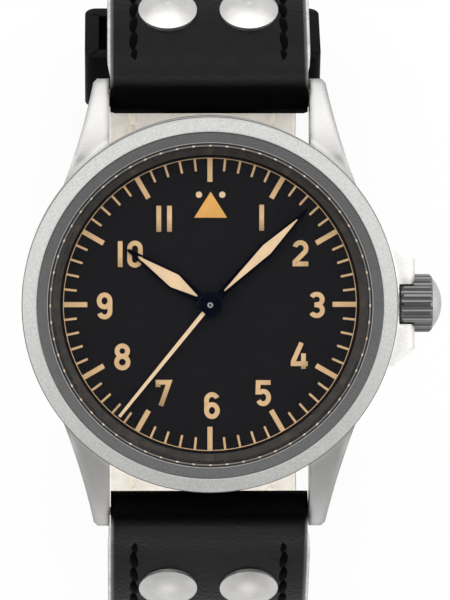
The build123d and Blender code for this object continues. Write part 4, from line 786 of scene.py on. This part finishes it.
@dataclass(frozen=True)
class StrapHalf:
    """One half of the strap: calf outside, lining inside, and the stitches that hold them together."""

    side: str
    path: StrapPath
    body: str
    width: float = 20.4
    lug_width: float = 19.8
    outer: float = 1.3
    seam: float = -0.4
    loop_r: float = 2.15
    bore_r: float = 0.85
    groove_x: float = 7.55
    groove_w: float = 0.50
    groove_depth: float = 0.16
    edge_r: float = 0.5
    stitch_pitch: float = 2.12
    stitch_size: tuple[float, float, float] = (0.92, 2.36, 0.46)
    first_stitch: float = 3.25
    tail: float = 0.0
    pin_r: float = 0.0
    pin_bore_r: float = 0.75
    pin_wrap: float = 2.2
    pin_swell: float = 1.6
    thins_above: float = 4.6
    thins_below: float = 2.8
    widens: Point = (2.9, 3.7)
    end_slope: float = 0.6
    end_corner: float = 0.8
    end_share: float = 0.98
    row: float = 0.8
    columns: Point = (4.1, 2.0)
    seam_start: float = 3.25
    grooves: Point = (2.6, 5.0)
    tongue_slot: tuple[float, float, float] = (2.4, 4.4, 8.0)
    slot_shift: float = 0.45
    lining_start: float = 3.3
    lining_gap: float = 0.6
    lining_inset: float = 0.1
    lining_edge_r: float = 0.3
    lining_row: float = 1.0
    wave: float = 0.05
    wave_size: Point = (5.0, 7.0)
    wave_seed: Point = (3.1, 8.7)
    wave_margin: Point = (4.0, 3.0)
    stitch_slant: float = 9.0
    pin_margin: float = 4.5
    tail_margin: float = 3.0
    holes: tuple[float, ...] = ()
    hole_r: float = 1.3

    def build(self) -> None:
        """Builds the leather, the lining and the stitches, black outside and cream inside."""
        leather = self.leather()
        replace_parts(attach(leather, self.body), f"strap_{self.side}_leather")
        lining = self.lining()
        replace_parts(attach(lining, self.body), f"strap_{self.side}_lining")
        deep = self.outer - self.groove_depth * 0.6
        for name, finish, height, slot in (("stitches", WAXED_THREAD, deep, "strap_leather"),
                                           ("lining_stitches", CREAM_THREAD, -deep, "strap_lining")):
            sewn = self.stitches(f"{name}_{self.side}", finish, height)
            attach(sewn, self.body)

    def half_width(self, distance: float) -> float:
        """Half the strap's width at a distance from the spring bar."""
        grown = smooth_step(distance, *self.widens)
        half = (self.lug_width + (self.width - self.lug_width) * grown) / 2
        half -= self.end_slope * max(0.0, -distance - self.loop_r + self.end_corner)
        if self.tail:
            half -= max(0.0, distance - (self.path.length - self.tail))
        return half

    def height_factor(self, distance: float) -> tuple[float, float]:
        """How much thicker the leather is where it wraps a bar.

        Args:
            distance: along the strap from the spring bar.

        Returns:
            Factors for the height above and below the centre line.
        """
        near = 1 - smooth_step(distance, 0.0, self.thins_above)
        above = self.outer + (self.loop_r - self.outer) * near
        below = self.loop_r + (self.outer - self.loop_r) * smooth_step(distance, 0, self.thins_below)
        if distance > self.seam_start:
            below = -self.seam
        if distance < 0:
            round_end = math.sqrt(max(0.02, 1 - (distance / self.loop_r) ** 2))
            above, below = above * round_end, below * round_end
        past = distance - (self.path.length - self.pin_wrap)
        if self.pin_r and past > 0:
            above = self.outer + (self.pin_r - self.outer) * smooth_step(past, 0, self.pin_swell)
            below = self.pin_r
            if past > self.pin_wrap:
                round_end = math.sqrt(max(0.02, 1 - ((past - self.pin_wrap) / self.pin_r) ** 2))
                above, below = above * round_end, below * round_end
        return above / self.outer, below / -self.seam

    def shape(self, mesh: bmesh.types.BMesh, wraps: bool) -> None:
        """Gives a flat slab the strap's width, its wrapped ends, its grooves and slight hand-made waves.

        Args:
            mesh: the flat slab, in millimetres.
            wraps: whether this is the leather, which wraps the bars.
        """
        seed = self.wave_seed[0 if wraps else 1]
        for vertex in mesh.verts:
            x, distance, height = vertex.co
            vertex.co.x = x * self.half_width(distance) / (self.width / 2)
            on_top = height > self.outer - NEAR if wraps else height < -self.outer + NEAR
            sewn = self.grooves[0] < distance < self.path.length - self.grooves[1]
            if abs(abs(x) - self.groove_x) < NEAR and on_top and sewn:
                vertex.co.z += -self.groove_depth if wraps else self.groove_depth
            if wraps:
                above, below = self.height_factor(distance)
                vertex.co.z *= above if height > 0 else below
            wave = noise.noise(Vector((x / self.wave_size[0], distance / self.wave_size[1], seed)))
            free = self.wave_margin[0] < distance < self.path.length - self.wave_margin[1]
            if abs(x) < self.width / 2 - 1 and free and on_top:
                vertex.co.z += self.wave * wave

    def cuts_along(self, *further: float) -> list[float]:
        """Lists the X of the cuts along both grooves, at any further places and in the middle."""
        groove = (self.groove_x - self.groove_w, self.groove_x, self.groove_x + self.groove_w)
        return [side * x for side in (-1, 1) for x in (*groove, *further)] + [0.0]

    def leather(self) -> bpy.types.Object:
        """Builds the outer leather with its rounded, waxed edges, which its finish paints with a highlight.
        """
        end = self.path.length + self.pin_r * self.end_share
        low = (-self.width / 2, -self.loop_r * self.end_share, self.seam)
        high = (self.width / 2, end, self.outer)
        mesh = slab(low, high, self.row, self.cuts_along(*self.columns))
        along = self.width / 2 - 0.01
        round_edges(mesh, lambda e: all(abs(v.co.x) > along for v in e.verts) and e.verts[0].co.z > 0
                    and e.verts[1].co.z > 0 and abs(e.verts[0].co.z - e.verts[1].co.z) < 0.01, self.edge_r, 4)
        self.shape(mesh, True)
        self.path.bend(mesh)
        piece = finish_object(mesh, f"leather_{self.side}", CALF_HIDE, 50)
        tools = [self.cross_tool(0.0, self.bore_r)]
        if self.pin_r:
            tools.append(self.cross_tool(self.path.length, self.pin_bore_r))
            tools.append(self.slot_tool())
        tools += [self.punch(distance) for distance in self.holes]
        cut(piece, tools)
        return piece

    def lining(self) -> bpy.types.Object:
        """Builds the lining, a little narrower than the leather."""
        end = self.path.length - (self.pin_r + self.lining_gap if self.pin_r else 0.0)
        half = self.width / 2 - self.lining_inset
        mesh = slab((-half, self.lining_start, -self.outer), (half, end, self.seam), self.lining_row,
                    self.cuts_along())
        round_edges(mesh, lambda e: all(abs(v.co.x) > half - NEAR for v in e.verts)
                    and all(v.co.z < self.seam - 0.2 for v in e.verts), self.lining_edge_r, 2)
        self.shape(mesh, False)
        self.path.bend(mesh)
        piece = finish_object(mesh, f"lining_{self.side}", LINING_HIDE, 50)
        cut(piece, [self.punch(distance) for distance in self.holes])
        return piece

    def cross_tool(self, distance: float, radius: float) -> bpy.types.Object:
        """Makes a round bar across the strap, to cut a bore with."""
        mesh = bmesh.new()
        bmesh.ops.create_cone(mesh, cap_ends=True, segments=32, radius1=radius * MM, radius2=radius * MM,
                              depth=2 * self.width * MM, matrix=Matrix.Rotation(math.pi / 2, 4, "Y"))
        bmesh.ops.translate(mesh, vec=self.path.place(0, distance, 0), verts=mesh.verts)
        return finish_object(mesh, "bore_tool", CALF_HIDE)

    def punch(self, distance: float) -> bpy.types.Object:
        """Makes a round bar through the strap, to punch a hole with."""
        mesh = bmesh.new()
        radius = self.hole_r * MM
        bmesh.ops.create_cone(mesh, cap_ends=True, segments=28, radius1=radius, radius2=radius, depth=8 * MM)
        out = self.path.place(0, distance, 1) - self.path.place(0, distance, 0)
        turn = out.to_track_quat("Z", "X").to_matrix()
        bmesh.ops.rotate(mesh, cent=(0, 0, 0), matrix=turn, verts=mesh.verts)
        bmesh.ops.translate(mesh, vec=self.path.place(0, distance, 0), verts=mesh.verts)
        return finish_object(mesh, "punch_tool", CALF_HIDE)

    def slot_tool(self) -> bpy.types.Object:
        """Makes the block that cuts the tongue's slot at the buckle bar."""
        mesh = bmesh.new()
        bmesh.ops.create_cube(mesh, size=1.0)
        bmesh.ops.scale(mesh, vec=self.tongue_slot, verts=mesh.verts)
        bmesh.ops.translate(mesh, vec=(0, self.path.length + self.slot_shift, 0), verts=mesh.verts)
        self.path.bend(mesh)
        return finish_object(mesh, "slot_tool", CALF_HIDE)

    def stitches(self, name: str, finish: Finish, height: float) -> bpy.types.Object:
        """Sews both edges with short slanted stitches.

        Args:
            name: the piece's name.
            finish: the thread.
            height: above the centre line.

        Returns:
            All stitches of one side as one piece.
        """
        mesh = bmesh.new()
        last = self.path.length - (self.pin_margin if self.pin_r else self.tail + self.tail_margin)
        count = int((last - self.first_stitch) / self.stitch_pitch)
        for number in range(count):
            distance = self.first_stitch + number * self.stitch_pitch
            for x in (-self.groove_x, self.groove_x):
                thread = bmesh.new()
                bmesh.ops.create_uvsphere(thread, u_segments=8, v_segments=6, radius=0.5)
                bmesh.ops.scale(thread, vec=self.stitch_size, verts=thread.verts)
                slant = Matrix.Rotation(math.radians(math.copysign(self.stitch_slant, x)), 3, "Z")
                bmesh.ops.rotate(thread, cent=(0, 0, 0), matrix=slant, verts=thread.verts)
                bmesh.ops.translate(thread, vec=(x, distance, height), verts=thread.verts)
                self.path.bend(thread)
                join_mesh(mesh, thread)
        return finish_object(mesh, name, finish, 60)


def smooth_step(value: float, start: float, end: float) -> float:
    """Rises smoothly from 0 at start to 1 at end."""
    share = min(1.0, max(0.0, (value - start) / (end - start)))
    return share * share * (3 - 2 * share)


def join_mesh(mesh: bmesh.types.BMesh, part: bmesh.types.BMesh) -> None:
    """Adds a part to a mesh and frees the part."""
    data = bpy.data.meshes.new("part")
    part.to_mesh(data)
    part.free()
    mesh.from_mesh(data)
    bpy.data.meshes.remove(data)


@dataclass(frozen=True)
class Keeper:
    """A leather loop that both strap ends run through."""

    name: str
    body: str
    place: Matrix
    length: float
    low: float
    high: float
    half: float = 10.45
    wall: float = 1.2
    slack: float = 0.0
    corner: float = 1.15
    edge: float = 0.32

    def build(self) -> None:
        """Builds the loop with rounded edges."""
        mesh = bmesh.new()
        bmesh.ops.create_cube(mesh, size=1.0)
        wide, tall = 2 * (self.half + self.slack + self.wall), self.high - self.low + 2 * self.wall
        bmesh.ops.scale(mesh, vec=(wide, self.length, tall), verts=mesh.verts)
        bmesh.ops.translate(mesh, vec=(0, 0, (self.low + self.high) / 2), verts=mesh.verts)
        ends = [face for face in mesh.faces if abs(face.normal.y) > 0.9]
        bmesh.ops.delete(mesh, geom=ends, context="FACES_ONLY")
        edges = [edge for edge in mesh.edges if not edge.is_boundary]
        bmesh.ops.bevel(mesh, geom=edges, offset=self.corner, offset_type="OFFSET", segments=6, profile=0.5,
                        affect="EDGES", clamp_overlap=True, material=-1)
        bmesh.ops.recalc_face_normals(mesh, faces=mesh.faces)
        bmesh.ops.solidify(mesh, geom=mesh.faces, thickness=self.wall)
        bmesh.ops.recalc_face_normals(mesh, faces=mesh.faces)
        limit = self.length / 2 - 0.01
        round_edges(mesh, lambda e: all(abs(v.co.y) > limit for v in e.verts), self.edge, 3)
        scaled(mesh)
        bmesh.ops.transform(mesh, matrix=self.place, verts=mesh.verts)
        piece = finish_object(mesh, f"{self.name}_leather", KEEPER_HIDE, 50)
        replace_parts(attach(piece, self.body), self.name)


def strap_place(path: StrapPath, distance: float) -> Matrix:
    """Finds the placement on a strap whose Z looks outwards.

    Args:
        path: the strap half.
        distance: along it from the spring bar.

    Returns:
        The placement, in metres.
    """
    origin = path.place(0, distance, 0)
    out = (path.place(0, distance, 1) - origin).normalized()
    across = Vector((1, 0, 0))
    along = out.cross(across)
    turn = Matrix((across, along, out)).transposed()
    return Matrix.Translation(origin) @ turn.to_4x4()


@dataclass(frozen=True)
class Strap:
    """The whole strap: both halves and both keepers."""

    first_hole: float = 51.911
    hole_pitch: float = 7.0
    holes: int = 7
    free_keeper_at: float = SIDE.radius * math.radians(117.0)

    def build(self) -> None:
        """Builds the halves and the keepers."""
        base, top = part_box("fixed_keeper")
        middle = Matrix.Translation(((base + top) / 2))
        half_height = (top.z - base.z) / 2 / MM - Keeper.wall
        holes = tuple(self.first_hole + i * self.hole_pitch for i in range(self.holes))
        StrapHalf("12", SHORT_PATH, "strap_12", pin_r=1.45).build()
        StrapHalf("6", LONG_PATH, "strap_6", tail=5.0, holes=holes).build()
        Keeper("fixed_keeper", "strap_12", middle, length=6.0, low=-half_height, high=half_height).build()
        Keeper("free_keeper", "free_keeper", strap_place(SHORT_PATH, self.free_keeper_at), length=6.5,
               low=-1.78, high=4.5, wall=1.5, slack=0.75).build()


@dataclass(frozen=True)
class Head:
    """The watch head: every rigid CAD piece and the finish it gets."""

    finishes: tuple[tuple[Finish, tuple[str, ...]], ...] = (
        (CASE_STEEL, ("case_middle", "case_back")),
        (BEZEL_STEEL, ("bezel",)),
        (CROWN_STEEL, ("crown",)),
        (SAPPHIRE, ("crystal",)),
        (FLANGE_BLACK, ("rehaut",)),
        (DIAL_BLACK, ("dial",)),
        (BLUED_STEEL, ("hour_hand", "minute_hand")),
        (CREAM_LACQUER, ("seconds_hand",)),
        (BRIGHT_STEEL, ("rivets_12", "rivets_6", "buckle_bar", "spring_bar_12", "spring_bar_6", "crown_tube",
                        "winding_stem", "winding_pinion", "sliding_pinion", "click", "pallet_fork",
                        "escape_wheel", "hairspring")),
        (BUCKLE_STEEL, ("buckle_frame", "buckle_tongue")),
        (RUBBER, ("case_back_gasket", "crystal_gasket", "crown_gasket")),
        (NICKEL, ("main_plate", "barrel_bridge", "train_bridge", "balance_cock", "movement_ring",
                  "rotor_post", "winding_rotor", "ratchet_wheel", "crown_wheel", "seconds_pinion",
                  "cannon_pinion", "minute_wheel", "hour_wheel")),
        (GILT, ("barrel", "centre_wheel", "third_wheel", "fourth_wheel", "balance_wheel")),
    )

    def build(self) -> None:
        """Dresses the CAD pieces."""
        for finish, nodes in self.finishes:
            for name in nodes:
                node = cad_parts[name]
                node.data.materials.clear()
                node.data.materials.append(material(finish))


@dataclass(frozen=True)
class LumeFill:
    """Paint in the open blade of a hand, drawn to a point at both ends and crowned by its surface tension."""

    hand: str
    turn: float
    start: float
    widest: float
    end: float
    half: float
    point: float = 0.05
    crown: float = 0.05
    proud: float = 0.01

    def build(self) -> None:
        """Builds the fill over its hand."""
        base, top = (corner.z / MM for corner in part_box(f"{self.hand}_hand"))
        mesh = bmesh.new()
        side = ((self.point, self.start), (self.half, self.widest), (self.point, self.end))
        outline = [*side, *((-x, y) for x, y in reversed(side))]
        corners = [mesh.verts.new((x, y, base)) for x, y in outline]
        raise_outline(mesh, corners, top - base + self.proud)
        upper = [face for face in mesh.faces if face.normal.z > 0.9]
        bmesh.ops.inset_region(mesh, faces=upper, thickness=self.point * 0.6, depth=self.crown)
        turn = Matrix.Rotation(-math.radians(self.turn), 3, "Z")
        bmesh.ops.rotate(mesh, cent=(0, 0, 0), matrix=turn, verts=mesh.verts)
        scaled(mesh)
        piece = finish_object(mesh, f"{self.hand}_fill", AGED_LUME)
        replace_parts(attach(piece, self.hand), f"{self.hand}_hand_lume")


@dataclass(frozen=True)
class CrystalEdge:
    """Painted reflections in the crystal's bevelled edge seen from above: a grey line of painted glare with a
    small painted reflection of each minute bar.
    """

    inner: float = 15.77
    outer: float = 15.90
    height: float = 0.06
    picture: tuple[float, float, float] = (0.26, 0.15, 0.02)

    def build(self) -> None:
        """Builds the painted glare line and the sixty painted bar reflections on it."""
        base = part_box("crystal_gasket")[1].z / MM
        ring = bmesh.new()
        turn_section(ring, [(self.inner, base), (self.outer, base), (self.outer, base + self.height),
                            (self.inner, base + self.height)], RING_STEPS)
        pictures = bmesh.new()
        for minute in range(60):
            made = bmesh.ops.create_cube(pictures, size=1.0)["verts"]
            bmesh.ops.scale(pictures, vec=self.picture, verts=made)
            middle = (0, (self.inner + self.outer) / 2, base + self.height)
            bmesh.ops.translate(pictures, vec=middle, verts=made)
            turn = Matrix.Rotation(minute * FULL_TURN / 60, 3, "Z")
            bmesh.ops.rotate(pictures, cent=(0, 0, 0), matrix=turn, verts=made)
        # The ring is painted glare and the small bars are painted reflections.
        for mesh, name, finish in ((ring, "painted_glare_ring", CRYSTAL_GLARE),
                                   (pictures, "painted_bar_reflections", BAR_REFLECTION)):
            scaled(mesh)
            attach(finish_object(mesh, name, finish), "case")


@dataclass(frozen=True)
class Hub:
    """Blued collar of the minute hand, blued cap of the seconds hand, and the bright end of its arbor."""

    collar_r: float = 1.27
    collar_bore: float = 0.6
    collar_h: float = 0.14
    cap_r: float = 1.0
    cap_h: float = 0.12
    slope: float = 0.11
    pin_r: float = 0.27
    pin_h: float = 0.17
    pit_r: float = 0.14
    edge: float = 0.03
    sunk: float = 0.02
    sliver: float = 0.01

    def build(self) -> None:
        """Builds the collar, the cap, the arbor's end and a dark core in its pit, which is painted shade."""
        minute_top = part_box("minute_hand")[1].z / MM
        low, top = (corner.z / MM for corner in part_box("seconds_hand"))
        edge, sliver = self.edge, self.sliver
        inner = self.pin_r - edge
        cap_top, pin_top = top + self.cap_h, top + self.pin_h
        collar_top = minute_top + self.collar_h
        collar = [(self.collar_bore, minute_top - self.sunk), (self.collar_r, minute_top - self.sunk),
                  (self.collar_r, minute_top + self.sunk), (self.collar_r - self.slope, collar_top),
                  (self.collar_bore, collar_top)]
        cap = [(inner, low), (self.cap_r, low), (self.cap_r, cap_top - self.slope),
               (self.cap_r - self.slope, cap_top), (inner, cap_top)]
        pin = [(self.pit_r, low), (self.pin_r, low), (self.pin_r, pin_top - edge),
               (self.pin_r - edge, pin_top), (self.pit_r + edge, pin_top), (self.pit_r, pin_top - edge)]
        # Painted shade: a dark core in the arbor's pit.
        core = [(sliver, low), (self.pit_r + sliver, low), (self.pit_r + sliver, top + self.sunk),
                (sliver, top + self.sunk)]
        for section, name, finish, body in (
                (collar, "minute_collar", BLUED_RIM, "minute"), (cap, "seconds_cap", BLUED_STEEL, "seconds"),
                (pin, "arbor_end", BRIGHT_STEEL, "seconds"), (core, "arbor_pit_shade", RUBBER, "seconds")):
            mesh = bmesh.new()
            turn_section(mesh, section, 96)
            scaled(mesh)
            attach(finish_object(mesh, name, finish, 30), body)


@dataclass(frozen=True)
class Softbox:
    """A square lamp that faces the watch: where it hangs and its side, in metres, and its power in watts."""

    name: str
    spot: tuple[float, float, float]
    size: float
    power: float

    def build(self) -> None:
        """Hangs the lamp."""
        data = bpy.data.lights.new(self.name, "AREA")
        data.shape, data.size, data.energy = "SQUARE", self.size, self.power
        made = bpy.data.objects.new(self.name, data)
        bpy.context.scene.collection.objects.link(made)
        made.location = self.spot
        made.rotation_mode = "QUATERNION"
        made.rotation_quaternion = Vector(self.spot).to_track_quat("Z", "Y")


@dataclass(frozen=True)
class Studio:
    """Pale floor, soft lamps and the camera over the dial."""

    floor_size: float = 3.0
    aim: tuple[float, float, float] = (1.45, 0.56, 8.4)
    distance: float = 500.0
    to_north: float = 3.0
    to_west: float = 1.2
    lens: float = 303.0
    floor_glow: float = 0.88
    sky_levels: tuple[Point, ...] = ((0.001, 0.50), (0.45, 0.58), (0.62, 0.72), (0.84, 0.70), (0.95, 0.30),
                                     (0.999, 0.12))
    north_light: float = 0.62
    sky_strength: float = 2.0
    lamps: tuple[Softbox, ...] = (Softbox("north_softbox", (-0.10, 0.62, 0.70), 0.75, 1.0),
                                  Softbox("east_strip", (0.80, 0.05, 0.16), 0.30, 1.6),
                                  Softbox("west_strip", (-0.80, 0.05, 0.16), 0.30, 1.6),
                                  Softbox("south_strip", (0.0, -0.78, 0.20), 0.34, 0.38))

    def build(self) -> None:
        """Sets up the camera, the floor, the sky and the lamps."""
        self.camera()
        self.floor()
        self.sky()
        for lamp in self.lamps:
            lamp.build()
        bpy.context.scene.view_settings.view_transform = "Standard"

    def camera(self) -> None:
        """Hangs the camera over the dial, a little north and west of its axis."""
        data = bpy.data.cameras.new("camera")
        data.lens = self.lens
        data.clip_start, data.clip_end = 0.01, 10.0
        made = bpy.data.objects.new("camera", data)
        bpy.context.scene.collection.objects.link(made)
        north, west = math.tan(math.radians(self.to_north)), math.tan(math.radians(self.to_west))
        back = Vector((-west, north, 1.0)).normalized()
        side = Vector((0, 1, 0)).cross(back).normalized()
        turn = Matrix((side, back.cross(side), back)).transposed().to_4x4()
        made.matrix_world = Matrix.Translation((Vector(self.aim) + back * self.distance) * MM) @ turn
        bpy.context.scene.camera = made

    def floor(self) -> None:
        """Lays the pale floor that the strap stands on; the camera sees it a little brighter."""
        mesh = bmesh.new()
        bmesh.ops.create_grid(mesh, x_segments=1, y_segments=1, size=self.floor_size / 2)
        bmesh.ops.translate(mesh, vec=(0, 0, CAD_BOX[0].z), verts=mesh.verts)
        made = finish_object(mesh, "floor", FLOOR_PAPER)
        tree = made.data.materials[0].node_tree
        output = next(node for node in tree.nodes if node.type == "OUTPUT_MATERIAL")
        shader = output.inputs["Surface"].links[0].from_socket
        path = add_node(tree, "ShaderNodeLightPath")
        rays = add_node(tree, "ShaderNodeMath", {
            0: path.outputs["Is Camera Ray"], 1: path.outputs["Is Glossy Ray"]}, operation="MAXIMUM")
        seen = add_node(tree, "ShaderNodeMath", {0: rays.outputs[0], 1: self.floor_glow},
                        operation="MULTIPLY")
        glow = add_node(tree, "ShaderNodeEmission", {"Color": (1.0, 1.0, 1.0, 1.0), "Strength": 1.0})
        blend = add_node(tree, "ShaderNodeMixShader", {0: seen.outputs[0], 1: shader, 2: glow.outputs[0]})
        tree.links.new(blend.outputs[0], output.inputs["Surface"])

    def sky(self) -> None:
        """Lights the room, darker overhead where the camera is and brighter high up in the north."""
        world = bpy.data.worlds.new("room")
        bpy.context.scene.world = world
        world.use_nodes = True
        tree = world.node_tree
        tree.nodes.clear()
        way = add_node(tree, "ShaderNodeTexCoord").outputs["Generated"]
        axes = add_node(tree, "ShaderNodeSeparateXYZ", {0: way})
        height = add_node(tree, "ShaderNodeValToRGB", {0: axes.outputs["Z"]})
        ramp = height.color_ramp
        for position, strength in self.sky_levels:
            stop = ramp.elements.new(position)
            stop.color = (strength, strength, strength, 1.0)
        ramp.elements.remove(ramp.elements[0])
        ramp.elements.remove(ramp.elements[-1])
        north = add_node(tree, "ShaderNodeMath", {0: axes.outputs["Y"], 1: axes.outputs["Z"]},
                         operation="MULTIPLY")
        # On the sphere of directions Y times Z lies between -0.5 and 0.5.
        tilt = add_node(tree, "ShaderNodeMapRange", {
            "Value": north.outputs[0], "From Min": -0.5, "From Max": 0.5,
            "To Min": self.sky_strength * (1 - self.north_light),
            "To Max": self.sky_strength * (1 + self.north_light)})
        overhead = add_node(tree, "ShaderNodeMath", {0: height.outputs[0], 1: tilt.outputs[0]},
                            operation="MULTIPLY")
        path = add_node(tree, "ShaderNodeLightPath")
        level = add_node(tree, "ShaderNodeMix", {
            "Factor": path.outputs["Is Camera Ray"], "A": overhead.outputs[0], "B": 1.0}, data_type="FLOAT")
        light = add_node(tree, "ShaderNodeBackground", {"Color": (1.0, 1.0, 1.0, 1.0),
                                                        "Strength": level.outputs["Result"]})
        add_node(tree, "ShaderNodeOutputWorld", {"Surface": light.outputs[0]})


def main() -> None:
    """Builds the studio and the watch, and logs each part as it is built."""
    logging.basicConfig(level=logging.INFO, format="%(name)s: %(message)s")
    fills = (LumeFill("hour", turn=303.8, start=1.5, widest=4.25, end=8.6, half=0.73),
             LumeFill("minute", turn=45.65, start=2.0, widest=7.9, end=12.1, half=0.56))
    for maker in (Studio(), Head(), CrystalEdge(), *fills, Hub(), DialPrint(), Strap()):
        maker.build()
        LOG.info("built %s", type(maker).__name__)


if __name__ == "__main__":
    main()
